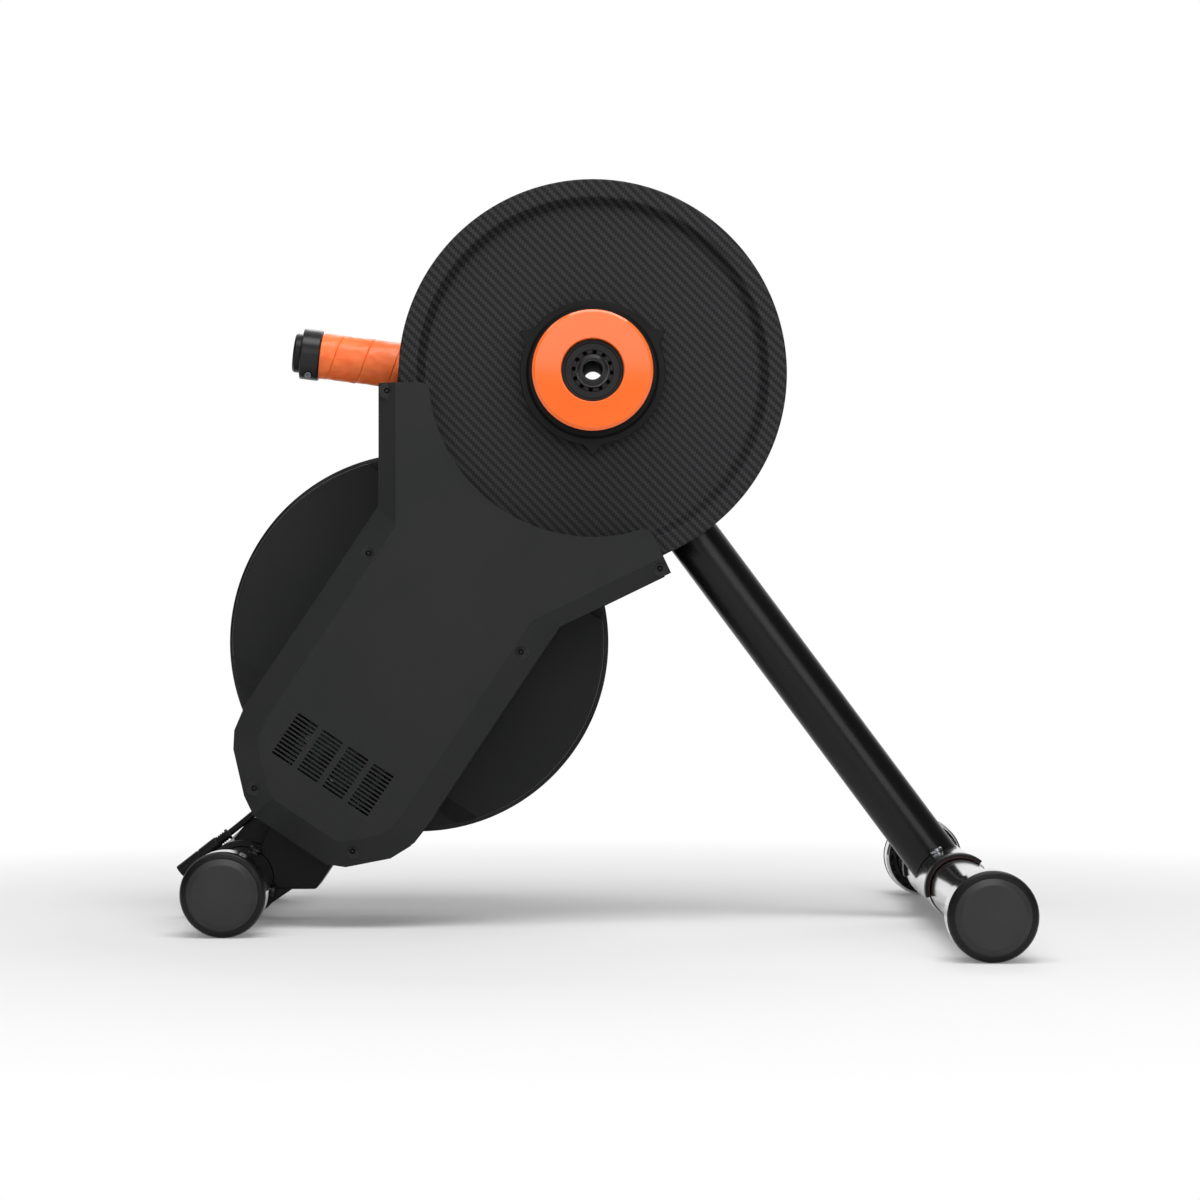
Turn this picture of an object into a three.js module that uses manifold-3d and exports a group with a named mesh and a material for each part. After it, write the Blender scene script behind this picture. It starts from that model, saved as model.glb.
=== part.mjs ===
// A direct drive bike trainer: the bike's rear wheel is taken off and its frame stands on the hub.
// Millimetres. X points to the front of the bike, Y away from the cog side, Z up; the floor is Z = 0.

import * as THREE from 'three';
import { ConvexGeometry } from 'three/addons/geometries/ConvexGeometry.js';
import { mergeVertices } from 'three/addons/utils/BufferGeometryUtils.js';
import Module from 'manifold-3d';

const wasm = await Module();
wasm.setup();

// Driving sizes of the whole trainer
const wheelbase = 448; // between the two crossbars
const hubHeight = 343; // axle height of a 700c wheel
const rearBarSide = -8.548; // of the rear crossbar's axis from the belt line
const beltCentres = 202; // from the hub axis to the flywheel axis
const beltAngle = THREE.MathUtils.degToRad(56.2);
const dropoutSpan = 132; // between the two faces that the bike's frame clamps on

// Gaps
const fit = 0.3; // between pieces that touch
const slack = 1; // round pieces that turn, and small edges
const overrun = 3; // by which a cut runs past what it cuts
const weldDistance = 1e-4; // corners nearer than this are one

// Facets round a full circle
const fineSides = 48;
const midSides = 24;
const smallSides = 10;
const guardSides = 32;
const bearingSides = 18;

// Large pulley
const pulleyRadius = 120;
const pulleyNear = -27; // its face on the cog side
const pulleyWidth = 24;
const pulleyBand = 11; // flat rim seen from the side
const pulleyDish = 6; // how far the web lies behind the rim
const pulleyWeb = 5;
const pulleyHubRadius = 24;
const pulleyHubLength = 26;

// Belt and its two small pulleys
const beltThick = 3;
const beltWidth = 18;
const smallPulleyRadius = 18;
const smallPulleyLip = 3;
const idlerRadius = 14;
const idlerBore = 5;
const idlerLip = 1; // of the idler past the belt, each side
const idlerHeadThick = 3;
const idlerPlaceShare = 0.74; // along the front run, as a share of the belt centres

// Flywheel
const flywheelRadius = 122.3;
const flywheelNear = 77;
const flywheelWidth = 35;
const flywheelRim = 28;
const flywheelWeb = 9;
const flywheelHub = 30;
const flywheelChamfer = 3;
const nutThick = 4;
const shaftNearEnd = 2; // of the shaft past the small pulley
const shaftFarEnd = 5; // and past the flywheel
const shaftRadius = 8.5;
const bearingRadius = 20;
const bearingWidth = 12;
const bearingInset = 6; // of the inner bearing behind the cover
const tubeGap = 4; // from the frame's bearing tube to the flywheel's web

// Electromagnet brake inside the flywheel
const poleCount = 8;
const poleGap = 1.8; // to the flywheel's rim
const poleWidth = 14;
const poleRoot = 2; // by which a pole runs into the core's ring
const coreRadius = 52;
const coreNear = 79.5;
const coreThick = 12;
const coilDepth = 3;
const coilFrom = 56;
const coilTo = 80;
const coilWall = 4;

// Control board behind the vents
const boardWide = 58;
const boardLong = 44;
const boardThick = 1.6;
const boardNear = 12;
const boardPost = 3;
const boardInset = 5;
const chipShares = [[-0.2, -0.15, 0.28, 0.34], [0.25, 0.1, 0.2, 0.3], [0.1, -0.3, 0.3, 0.14]];
const chipTall = 3;

// Shroud in front of the flywheel
const shroudRadius = 119.4;
const shroudNear = 65;
const shroudStep = 7.5; // from the raised zone down to the low zones
const shroudWall = 2.5;
const shroudUpper = 77; // raised zone, towards the hub
const shroudLower = 72; // raised zone, away from the hub
const shroudSlope = 11.5;

// Front cover and the frame tray behind it
const coverFace = -40;
const coverShoulder = -32; // where the sloped flank meets the side wall
const coverBack = 4;
const coverWall = 2.5;
const coverRise = 31.972; // of its lower end above the rear crossbar's axis, on the belt line
const coverHalfWidth = 67;
const coverShift = 3; // of its middle line from the belt line
const bodyFlank = 16;
const armFlank = 10.9;
const armGap = 12; // from the pulley rim to the arm's outer wall
const armDepth = 36; // from that wall to the arm's inner edge
const armTipLow = 6.3; // of the rear arm below the hub axis
const armTipShort = 10.3; // of the front arm before the hub's foot on its wall
const coverBite = 103; // radius of the round edge about the hub
const tipCorner = 10;
const tipCutShare = 0.3; // how deep the corner's middle point lies
const frameBack = 60;
const frameWall = 4;
const frameFloor = 5;
const frameLip = 0.8; // by which the tray shows round the cover
const trayTipDrop = 4; // of the tray's arm tips below the cover's
const headRadius = 44; // of the frame round the hub
const hubBossRadius = 30;
const hubBossStep = 2; // of the hub boss behind the tray
const screwRadius = 1.5;
const screwHead = 2.3;
const screwRecess = 3.4;
const screwPost = 5;
const screwSink = 1.6;

// Vent slots in the cover
const ventRows = 12;
const ventColumns = 4;
const ventPitch = 2.55;
const ventSlot = 1.25;
const ventLong = 15;
const ventRib = 3.6; // between columns
const ventInset = 54; // of their middle from the cover's lower end, along the belt line
const ventOffset = 1.5;

// Front strut and its socket
const strutRadius = 16.5;
const strutWall = 2;
const strutPlane = 42;
const strutDrop = 14.5; // by which its axis passes below the hub
const socketWall = 4;
const socketReach = 84; // from the hub axis
const socketDepth = 36;
const strutBoltRadius = 3;
const strutBoltHead = 5;
const strutBoltSink = 1.5;
const strutBoltShare = 0.55; // along the socket's depth

// Crossbars and feet
const barRadius = 18.3;
const barWall = 2;
const frontHalfSpan = 235.5; // to the outer faces of the caps
const sleeveRadius = 19.8;
const sleeveHalf = 75; // either side of the strut
const collarRadius = 21.6;
const collarWidth = 10;
const rearBarRadius = 20.5;
const rearHalfSpan = 142;
const rearPlane = 50; // middle of the rear crossbar
const footRadius = 26;
const capLength = 11.5;
const capRound = 5.6;
const bandLength = 18;
const capBevel = 3.5;

// Rear foot block between the frame and the rear crossbar
const footHalfWidth = 24;
const footShift = 10.5; // of its middle line from the belt line
const footNear = 30;
const footWide = 40;
const saddleRadius = 23.2;
const footHeel = 19.5; // its lower face above the floor
const barBoltRadius = 2.4;
const barBoltHead = 4;
const barBoltTurns = [64, -18].map(THREE.MathUtils.degToRad);
const barBoltSetback = 6; // from the foot block's near face
const saddleBoltTurn = THREE.MathUtils.degToRad(116);

// Hub
const axleRadius = 8.5;
const axleBore = 6;
const capNoseRadius = 9.5;
const farCapRadius = 14.5;
const axleNose = 4; // of the axle past the lock ring
const hubBearingRadius = 15;
const hubBearingWidth = 7;
const freehubRadius = 17.2;
const freehubNear = -50.3;
const freehubFar = -27;
const freehubBore = 13.3;
const cogTeeth = 14;
const cogPitch = 12.7; // bicycle chain pitch
const cogThick = 2.2;
const cogPlane = -47; // its middle
const neckRadius = 21; // of the inner guard, up to the cog
const guardRadius = 36.9;
const guardHole = 19.1;
const guardFace = -63;
const guardBack = -55;
const guardBevel = 2;
const guardSeat = 22; // radius of its neck down to the cog
const innerGuardRadius = 44.8;
const innerGuardNear = -37;
const innerCollarDepth = 4;
const innerCollarWall = 6;
const innerGuardThick = 4;
const innerCollarRadius = 39.8;
const earRadius = 51;
const earRoot = 2;
const earWidth = 9;
const lockRingRadius = 18.7;
const lockRingBore = 10.3;
const lockRingThick = 3.4;
const lockNotchDepth = 2.4;
const lockNotches = 12;

// Handle
const handlePlane = 30;
const handleTilt = THREE.MathUtils.degToRad(7);
const handleReach = 190.4; // from the hub's middle plane to its outer end
const barTubeRadius = 11;
const tapeRadius = 14.6;
const tapeStart = 112.6; // from the hub's middle plane
const clampRadius = 16;
const clampLength = 11.5;
const clampScrewRadius = 1.1;
const clampHeadLength = 2;
const plugRadius = 12.1;
const plugLength = 6;
const plugChamfer = 2;
const tapeGap = 0.5; // from the tape to the cover's arm
const handleDrop = 7; // of its line below the hub axis
const handleSocketLength = 16;

// Direct current lead
const leadRadius = 2.1;
const leadPlane = 36;
const glandRadius = 4.4;
const glandLength = 6;
const glandCollar = 5.6;
const glandStep = 2; // of its collar outside the tray
const leadHoleRadius = 3.4;
const connectorRadius = 3.9;
const connectorLength = 31;
const reliefLength = 9;
const reliefRadius = 3.2;
const socketRadius = 2.6; // hole in the connector's open end

// Colours and finishes
const finish = (color, roughness, metalness) => new THREE.MeshStandardMaterial(
  { color, roughness, metalness },
);
const blackPlastic = finish('#2a2a2b', 0.5, 0);
const blackPaint = finish('#1d1d1e', 0.35, 0.1);
const carbonWeave = finish('#2e2e2f', 0.45, 0.1);
const orangePlastic = finish('#ff7a35', 0.4, 0);
const orangeTape = finish('#ff7b3f', 0.7, 0);
const polished = finish('#c9c9cb', 0.12, 1);
const steel = finish('#8f9194', 0.35, 1);
const castIron = finish('#232324', 0.55, 0.4);
const rubber = finish('#1a1a1a', 0.8, 0);
const copper = finish('#b0683a', 0.4, 1);
const boardGreen = finish('#1d5a3a', 0.5, 0);

// Solids: three.js shapes in, cut and joined shapes out
function solid(geometry) {
  const bare = geometry.clone();
  for (const name of ['normal', 'uv', 'color']) bare.deleteAttribute(name);
  const welded = mergeVertices(bare, weldDistance);
  const places = Float32Array.from(welded.attributes.position.array);
  const corners = Uint32Array.from(welded.index.array).slice();
  const kept = [];
  for (let i = 0; i < corners.length; i += 3) {
    const [a, b, c] = [corners[i], corners[i + 1], corners[i + 2]];
    if (a !== b && b !== c && a !== c) kept.push(a, b, c);
  }
  if (signedVolume(places, kept) < 0) {
    for (let i = 0; i < kept.length; i += 3) [kept[i + 1], kept[i + 2]] = [kept[i + 2], kept[i + 1]];
  }
  return new wasm.Manifold(
    new wasm.Mesh({ numProp: 3, vertProperties: places, triVerts: Uint32Array.from(kept) }),
  );
}

function signedVolume(places, corners) {
  const at = (i) => new THREE.Vector3().fromArray(places, 3 * corners[i]);
  let sum = 0;
  for (let i = 0; i < corners.length; i += 3) sum += at(i).dot(at(i + 1).cross(at(i + 2)));
  return sum;
}

function shapeOf(body) {
  const mesh = body.getMesh();
  const geometry = new THREE.BufferGeometry();
  geometry.setAttribute('position', new THREE.Float32BufferAttribute(mesh.vertProperties, 3));
  geometry.setIndex(Array.from(mesh.triVerts));
  geometry.computeVertexNormals();
  return geometry;
}

const joined = (bodies) => bodies.reduce((all, body) => all.add(body));
const without = (body, cutters) => cutters.reduce((left, cutter) => left.subtract(cutter), body);

// Basic bodies, all with their axis along Y and centred on it
function rod(radius, near, far, sides = midSides) {
  return solid(
    new THREE.CylinderGeometry(radius, radius, far - near, sides).translate(0, (near + far) / 2, 0),
  );
}

function turned(profile, sides = midSides) {
  const points = profile.map(([radius, y]) => new THREE.Vector2(radius, y));
  return solid(new THREE.LatheGeometry(points, sides));
}

function ring(outer, inner, near, far, sides = midSides) {
  return turned([[inner, near], [outer, near], [outer, far], [inner, far], [inner, near]], sides);
}

// A plate whose outline lies in X and Z, from one Y to another
function plate(shape, near, far, segments = 6) {
  const options = { depth: far - near, bevelEnabled: false, curveSegments: segments };
  return solid(new THREE.ExtrudeGeometry(shape, options).rotateX(Math.PI / 2).translate(0, far, 0));
}

// The convex body round several rings of points, each ring at its own Y
function hull(rings) {
  const points = rings.flatMap(([ringPoints, y]) => ringPoints.map((p) => new THREE.Vector3(p.x, y, p.y)));
  return solid(new ConvexGeometry(points));
}

function block(x, y, z, width, depth, height, turn = 0) {
  const box = new THREE.BoxGeometry(width, depth, height).rotateY(turn).translate(x, y, z);
  return solid(box);
}

const placed = (body, x, y, z) => body.translate([x, y, z]);

// A rod between two points
function strutBody(from, to, radius, sides = midSides) {
  const span = new THREE.Vector3().subVectors(to, from);
  const turn = new THREE.Quaternion().setFromUnitVectors(
    new THREE.Vector3(0, 1, 0), span.clone().normalize(),
  );
  const middle = new THREE.Vector3().addVectors(from, to).multiplyScalar(0.5);
  const place = new THREE.Matrix4().compose(middle, turn, new THREE.Vector3(1, 1, 1));
  return solid(new THREE.CylinderGeometry(radius, radius, span.length(), sides).applyMatrix4(place));
}

// Places along and across the belt line, from the hub axis
const along = new THREE.Vector2(-Math.cos(beltAngle), -Math.sin(beltAngle));
const across = new THREE.Vector2(Math.sin(beltAngle), -Math.cos(beltAngle));
const rearReach = (hubHeight - footRadius + across.y * rearBarSide) / -along.y;
const hub = new THREE.Vector2(-wheelbase / 2 - along.x * rearReach - across.x * rearBarSide, hubHeight);
const coverLength = (hubHeight - footRadius - coverRise) / -along.y;
const ventPlace = coverLength - ventInset;
const onBelt = (reach, side) => hub.clone().addScaledVector(along, reach).addScaledVector(across, side);
const flywheelAxis = onBelt(beltCentres, 0);
const beltTurn = beltAngle - Math.PI; // turns a box so that its length lies along the belt line
const rearBar = new THREE.Vector2(-wheelbase / 2, footRadius);
const frontBar = new THREE.Vector2(wheelbase / 2, footRadius);

const model = new THREE.Group();

function add(name, body, material, parent = model) {
  const mesh = new THREE.Mesh(shapeOf(body), material);
  mesh.name = name;
  parent.add(mesh);
  return mesh;
}

function groupAt(x, z, y = 0) {
  const group = new THREE.Group();
  group.position.set(x, y, z);
  model.add(group);
  return group;
}

// Outlines of the cover and the tray. Rings are convex and run the same way round.
function offsetRing(ringPoints, distance) {
  const count = ringPoints.length;
  const centre = ringPoints.reduce((sum, p) => sum.add(p), new THREE.Vector2()).divideScalar(count);
  const edges = ringPoints.map((point, i) => {
    const way = ringPoints[(i + 1) % count].clone().sub(point).normalize();
    const out = new THREE.Vector2(way.y, -way.x);
    if (out.dot(point.clone().sub(centre)) < 0) out.negate();
    return { way, start: point.clone().addScaledVector(out, distance) };
  });
  return edges.map((edge, i) => meet(edges[(i + count - 1) % count], edge));
}

function meet(one, two) {
  const turn = one.way.x * two.way.y - one.way.y * two.way.x;
  const gap = two.start.clone().sub(one.start);
  const reach = (gap.x * two.way.y - gap.y * two.way.x) / turn;
  return one.start.clone().addScaledVector(one.way, reach);
}

// The lower end of the cover as shares of its length and half width, from rear side to front side
const coverEndShares = [
  [0.846, -1], [0.892, -0.955], [0.921, -0.866], [0.98, -0.545], [1, -0.373],
  [1, 0.433], [0.985, 0.597], [0.927, 0.896], [0.889, 0.985], [0.848, 1],
];
const coverTopShare = 0.175;

function bodyRing() {
  const corners = [[coverTopShare, 1], [coverTopShare, -1], ...coverEndShares];
  return corners.map(([reach, side]) => onBelt(reach * coverLength, coverShift + side * coverHalfWidth));
}

// The two arms that follow the belt's straight runs
const wallRadius = pulleyRadius + armGap;
const wrapTurn = Math.asin((pulleyRadius - smallPulleyRadius) / beltCentres);
const rearOut = new THREE.Vector2(-1, 0);
const rearDown = new THREE.Vector2(0, -1);
const frontOut = across.clone().multiplyScalar(Math.cos(wrapTurn)).addScaledVector(along, Math.sin(wrapTurn));
const frontDown = along.clone().multiplyScalar(Math.cos(wrapTurn)).addScaledVector(
  across, -Math.sin(wrapTurn),
);
const arms = [
  { out: rearOut, down: rearDown, side: -1, tip: armTipLow },
  { out: frontOut, down: frontDown, side: 1, tip: armTipShort },
];
const armRootShare = 0.51; // where an arm's hull ends inside the body, along the cover
const onArm = (arm, out, down) => hub.clone().addScaledVector(arm.out, out).addScaledVector(arm.down, down);

function armRing(arm, grow, flank, sideFlank, tipGrow = 0) {
  const wall = { start: onArm(arm, wallRadius + grow - flank, 0), way: arm.down };
  const reach = coverShift + arm.side * (coverHalfWidth + grow - sideFlank);
  const knee = meet(wall, { start: onBelt(0, reach), way: along });
  const root = onBelt(coverLength * armRootShare, coverShift);
  const inner = wallRadius - armDepth;
  const tipCut = tipCorner * tipCutShare;
  return [
    onArm(arm, wallRadius + grow - flank, arm.tip - tipGrow),
    knee,
    root,
    onArm(arm, inner, arm.tip + tipCorner - tipGrow),
    onArm(arm, inner + tipCut, arm.tip + tipCut - tipGrow),
    onArm(arm, inner + tipCorner, arm.tip - tipGrow),
  ];
}

function coverParts(grow, face, shoulder, back, tipGrow = 0) {
  const outer = offsetRing(bodyRing(), grow);
  const inner = offsetRing(bodyRing(), grow - bodyFlank);
  const body = hull([[outer, back], [outer, shoulder], [inner, face]]);
  const armBodies = arms.map((arm) => hull([
    [armRing(arm, grow, 0, 0, tipGrow), back],
    [armRing(arm, grow, 0, 0, tipGrow), shoulder],
    [armRing(arm, grow, armFlank, bodyFlank, tipGrow), face],
  ]));
  return { body, armBodies };
}

// Six screws on the sloped flank: along and across the belt line, as shares of length and half width
const coverScrewShares = [[0.493, -0.833], [0.957, -0.503], [0.953, 0.567], [0.488, 0.836]];
const armScrewInset = armFlank / 2;
const armScrewReach = 5;
const coverScrews = [
  ...coverScrewShares.map(([reach, side]) => onBelt(reach * coverLength, coverShift + side * coverHalfWidth)),
  ...arms.map((arm) => onArm(arm, wallRadius - armScrewInset, arm.tip + armScrewReach)),
];

// Front cover: a shell with a sloped flank, bitten out round the large pulley
function frontCover() {
  const outer = coverParts(0, coverFace, coverShoulder, coverBack - fit);
  const bite = placed(rod(coverBite, coverFace - overrun, coverBack + overrun, fineSides), hub.x, 0, hub.y);
  const rearArm = arms[0];
  const tipRoot = tipCorner * 4;
  const tipRing = (grow, flank) => {
    const ends = armRing(rearArm, grow, flank, 0);
    return [
      ends[0], onArm(rearArm, wallRadius - flank, tipRoot), onArm(rearArm, wallRadius - armDepth, tipRoot),
      ...ends.slice(3),
    ];
  };
  const tip = hull([
    [tipRing(0, 0), coverBack - fit], [tipRing(0, 0), coverShoulder], [tipRing(0, armFlank), coverFace],
  ]);
  const shell = joined([outer.body, ...outer.armBodies]).subtract(bite).add(tip);
  const hollow = coverParts(
    -coverWall, coverFace + coverWall, coverShoulder + coverWall / 2, coverBack + overrun, overrun,
  );
  const tipHollow = placed(
    rod(wallRadius - armDepth + coverWall, coverFace + coverWall, coverBack + overrun, fineSides), hub.x, 0,
    hub.y,
  );
  const open = joined([hollow.body, ...hollow.armBodies, tipHollow]);
  const posts = coverScrews.map(
    (p) => placed(rod(screwPost, coverFace, coverBack - fit, smallSides), p.x, 0, p.y),
  );
  const lined = shell.subtract(open).add(joined(posts).intersect(shell));
  const holes = coverScrews.map((p) => placed(screwHole(), p.x, 0, p.y));
  return without(lined, [...holes, ...ventSlots()]);
}

// The flank is sloped, so the head sits on a flat floor sunk below the middle of the slope
const screwFloor = (coverFace + coverShoulder) / 2 + screwSink;

function screwHole() {
  const shank = rod(screwRadius + fit, coverFace, coverBack + overrun, smallSides);
  return shank.add(rod(screwRecess, coverFace - overrun, screwFloor, smallSides));
}

function coverScrew() {
  const shank = rod(screwRadius, screwFloor - fit - screwRadius / 2, coverBack + 3 * screwRadius, smallSides);
  const head = rod(screwHead, screwFloor - fit - screwHead * 0.8, screwFloor - fit, smallSides);
  return shank.add(head);
}

function ventSlots() {
  const slots = [];
  const columnStep = ventLong + ventRib;
  for (let row = 0; row < ventRows; row += 1) {
    for (let column = 0; column < ventColumns; column += 1) {
      const reach = ventPlace + (row - (ventRows - 1) / 2) * ventPitch;
      const side = ventOffset + (column - (ventColumns - 1) / 2) * columnStep;
      const place = onBelt(reach, side);
      const deep = 2 * coverWall + overrun;
      slots.push(block(place.x, coverFace + coverWall / 2, place.y, ventSlot, deep, ventLong, -beltTurn));
    }
  }
  return slots;
}

// Frame: a cast tray with the hub boss, the flywheel's bearing tube, the strut's socket and the handle's
const strutFoot = new THREE.Vector3(frontBar.x, strutPlane, frontBar.y);
const strutAim = new THREE.Vector3(hub.x, strutPlane, hub.y - strutDrop);
const strutWay = new THREE.Vector3().subVectors(strutFoot, strutAim).normalize();
const onStrut = (reach) => strutAim.clone().addScaledVector(strutWay, reach);
const handleWay = new THREE.Vector3(-Math.cos(handleTilt), 0, Math.sin(handleTilt));
const handleRoot = new THREE.Vector3(hub.x, handlePlane, hub.y - handleDrop);
const onHandle = (reach) => handleRoot.clone().addScaledVector(handleWay, reach);
const handleSocketReach = headRadius + handleSocketLength;
const bearingTube = bearingRadius + frameWall;
const bearingTubeEnd = flywheelNear + flywheelWidth - flywheelWeb - tubeGap;
const strutBolt = onStrut(socketReach - socketDepth * strutBoltShare);
const strutBoltFace = strutPlane + strutRadius + socketWall - strutBoltSink;

function boltSeat() {
  const seat = rod(strutBoltHead + fit, strutBoltFace, strutBoltFace + 2 * strutRadius, smallSides);
  return seat.add(rod(strutBoltRadius + fit, strutPlane, strutBoltFace + overrun, smallSides));
}

const shaftPlace = (body) => placed(body, flywheelAxis.x, 0, flywheelAxis.y);
const hubBossBack = frameBack + hubBossStep;
const hubPlace = (body) => placed(body, hub.x, 0, hub.y);

function mainFrame() {
  const tray = straightTray(0, coverBack, frameBack).subtract(
    straightTray(frameWall + frameLip, coverBack - overrun, frameBack - frameFloor),
  );
  const posts = coverScrews.map(
    (p) => placed(rod(screwPost, coverBack, frameBack - frameFloor / 2, smallSides), p.x, 0, p.y),
  );
  const socket = strutBody(onStrut(0), onStrut(socketReach), strutRadius + socketWall);
  const handleSocket = strutBody(onHandle(0), onHandle(handleSocketReach), barTubeRadius + socketWall);
  const bosses = [
    hubPlace(rod(hubBossRadius, coverBack, hubBossBack)),
    shaftPlace(rod(bearingTube, coverBack + slack, bearingTubeEnd)),
    ...posts, socket, handleSocket,
    ...boardCorners().map(
      (p) => placed(
        rod(boardPost, boardNear + boardThick + fit, frameBack - frameFloor / 2, smallSides), p.x, 0, p.y,
      ),
    ),
    ...shroudPosts.map(
      (p) => placed(rod(screwPost, frameBack - frameFloor, shroudNear - fit, smallSides), p.x, 0, p.y),
    ),
  ];
  const cuts = [
    hubPlace(rod(axleRadius + fit, -overrun, frameBack + overrun * 2)),
    hubPlace(rod(hubBossRadius, hubBossBack, hubBossBack + strutRadius)),
    shaftPlace(rod(bearingRadius + fit, coverBack - overrun, bearingTubeEnd + overrun)),
    strutBody(onStrut(socketReach - socketDepth), onStrut(socketReach + overrun), strutRadius + fit),
    strutBody(onHandle(headRadius), onHandle(handleSocketReach + overrun), barTubeRadius + fit),
    ...coverScrews.map(
      (p) => placed(
        rod(screwRadius + fit, coverBack - overrun, coverBack + 5 * screwRadius, smallSides), p.x, 0, p.y,
      ),
    ),
    strutBody(onHandle(handleSocketReach + slack), onHandle(handleReach), tapeRadius + tapeGap),
    placed(boltSeat(), strutBolt.x, 0, strutBolt.z),
    strutBody(onStrut(socketReach), strutFoot, strutRadius + fit),
    leadHole(),
  ];
  return without(joined([tray, ...bosses]), cuts);
}

// The tray's outline, drawn in by a wall, as one solid between two planes
function straightTray(wall, near, far) {
  const grow = frameLip - wall;
  const body = hull([[offsetRing(bodyRing(), grow), near], [offsetRing(bodyRing(), grow), far]]);
  const armBodies = arms.map((arm) => hull([
    [armRing(arm, grow, 0, 0, -wall - trayTipDrop), near],
    [armRing(arm, grow, 0, 0, -wall - trayTipDrop), far],
  ]));
  const head = hull([
    [circleRing(hub, headRadius - wall), near], [circleRing(hub, headRadius - wall), far],
    [headRoot(wall), near], [headRoot(wall), far],
  ]);
  return joined([body, ...armBodies, head]);
}

function circleRing(centre, radius, sides = midSides) {
  return Array.from({ length: sides }, (_, i) => {
    const turn = (2 * Math.PI * i) / sides;
    return new THREE.Vector2(centre.x + radius * Math.cos(turn), centre.y + radius * Math.sin(turn));
  });
}

const headRootShare = 0.42;
function headRoot(wall) {
  return [-1, 1].map(
    (side) => onBelt(coverLength * headRootShare, coverShift + side * (coverHalfWidth - wall)),
  );
}

// Shroud: a dished disc with a raised zone whose ends step down across the belt line
const shroudLow = shroudNear + shroudStep;
const shroudBack = shroudLow + shroudWall;
const shroudPostRadius = 46;
const shroudPosts = [0, 1, 2].map((i) => {
  const turn = (2 * Math.PI * i) / 3;
  const reach = beltCentres - shroudPostRadius * Math.cos(turn);
  return onBelt(reach, shroudPostRadius * Math.sin(turn));
});

function raisedZone(wall) {
  const far = shroudBack - wall + (wall ? overrun : 0);
  const profile = [
    [-shroudUpper + wall, shroudNear + wall], [shroudLower - wall, shroudNear + wall],
    [shroudLower + shroudSlope - wall, far], [-shroudUpper + wall, far],
  ];
  const points = profile.flatMap(([reach, y]) => [-1, 1].map((side) => {
    const p = onBelt(beltCentres + reach, side * shroudRadius);
    return new THREE.Vector3(p.x, y, p.y);
  }));
  const slab = solid(new ConvexGeometry(points));
  return slab.intersect(shaftPlace(rod(shroudRadius - wall, shroudNear, shroudBack + overrun, fineSides)));
}

function flywheelShroud() {
  const disc = shaftPlace(rod(shroudRadius, shroudLow, shroudBack, fineSides));
  const cuts = [
    raisedZone(shroudWall),
    shaftPlace(rod(bearingTube + slack, shroudNear - overrun, shroudBack + overrun)),
  ];
  return without(disc.add(raisedZone(0)), cuts);
}

// A cap screw along Y whose head rests on a face and whose shank runs towards the cog side
function capScrew(face, length, radius = screwRadius, head = screwHead) {
  const shank = rod(radius, face - length, face + head / 2, smallSides);
  const top = rod(head, face, face + head, smallSides);
  return shank.add(top);
}

// Power lead: gland on the tray's lower rear wall, lead, and an inline connector
const leadWall = coverEndShares[3];
const leadWallNext = coverEndShares[4];
const glandShare = 0.9; // of the way along that wall
const glandSeat = onBelt(
  THREE.MathUtils.lerp(leadWall[0], leadWallNext[0], glandShare) * coverLength,
  coverShift + THREE.MathUtils.lerp(leadWall[1], leadWallNext[1], glandShare) * coverHalfWidth,
);
const leadTilt = THREE.MathUtils.degToRad(38); // below level
const leadOut = new THREE.Vector3(-Math.cos(leadTilt), 0, -Math.sin(leadTilt));
const onLead = (reach) => new THREE.Vector3(
  glandSeat.x, leadPlane, glandSeat.y,
).addScaledVector(leadOut, reach);
const leadHole = () => strutBody(onLead(-4 * frameWall), onLead(4 * frameWall), leadHoleRadius, smallSides);

// Route of the lead's free stretch, from the gland to the connector
const leadRoute = [
  [-208.12, 36, 73.81], [-209.73, 36, 72.56], [-211.33, 36, 71.3], [-212.93, 36, 70.05],
  [-214.54, 36, 68.8], [-216.14, 36, 67.55], [-217.74, 36, 66.29], [-219.33, 36, 65.02],
  [-220.91, 36, 63.73], [-222.48, 36, 62.44], [-224.05, 36, 61.15], [-225.62, 36, 59.85],
  [-227.2, 36, 58.57], [-228.78, 36, 57.29], [-230.39, 36, 56.04], [-232.0, 36, 54.8],
].map(([x, y, z]) => new THREE.Vector3(x, y, z));

// Main frame and belt guard
add('main_frame', mainFrame(), blackPaint);
add('front_cover', frontCover(), blackPlastic);
coverScrews.forEach((p, i) => add(`cover_screw_${i + 1}`, coverScrew(), steel, groupAt(p.x, p.y)));
add('control_board', controlBoard(), boardGreen);
function boardCorners() {
  const reach = boardLong / 2 - boardInset;
  const side = boardWide / 2 - boardInset;
  return [[-1, -1], [-1, 1], [1, 1], [1, -1]].map(
    ([a, b]) => onBelt(ventPlace + a * reach, ventOffset + b * side),
  );
}

function controlBoard() {
  const middle = onBelt(ventPlace, ventOffset);
  const base = block(
    middle.x, boardNear + boardThick / 2, middle.y, boardLong, boardThick, boardWide, -beltTurn,
  );
  const chips = chipShares.map(([reach, side, long, wide]) => {
    const p = onBelt(ventPlace + reach * boardLong, ventOffset + side * boardWide);
    return block(
      p.x, boardNear - chipTall / 2 + boardThick / 2, p.y, long * boardLong, chipTall, wide * boardWide,
      -beltTurn,
    );
  });
  return joined([base, ...chips]);
}

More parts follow.
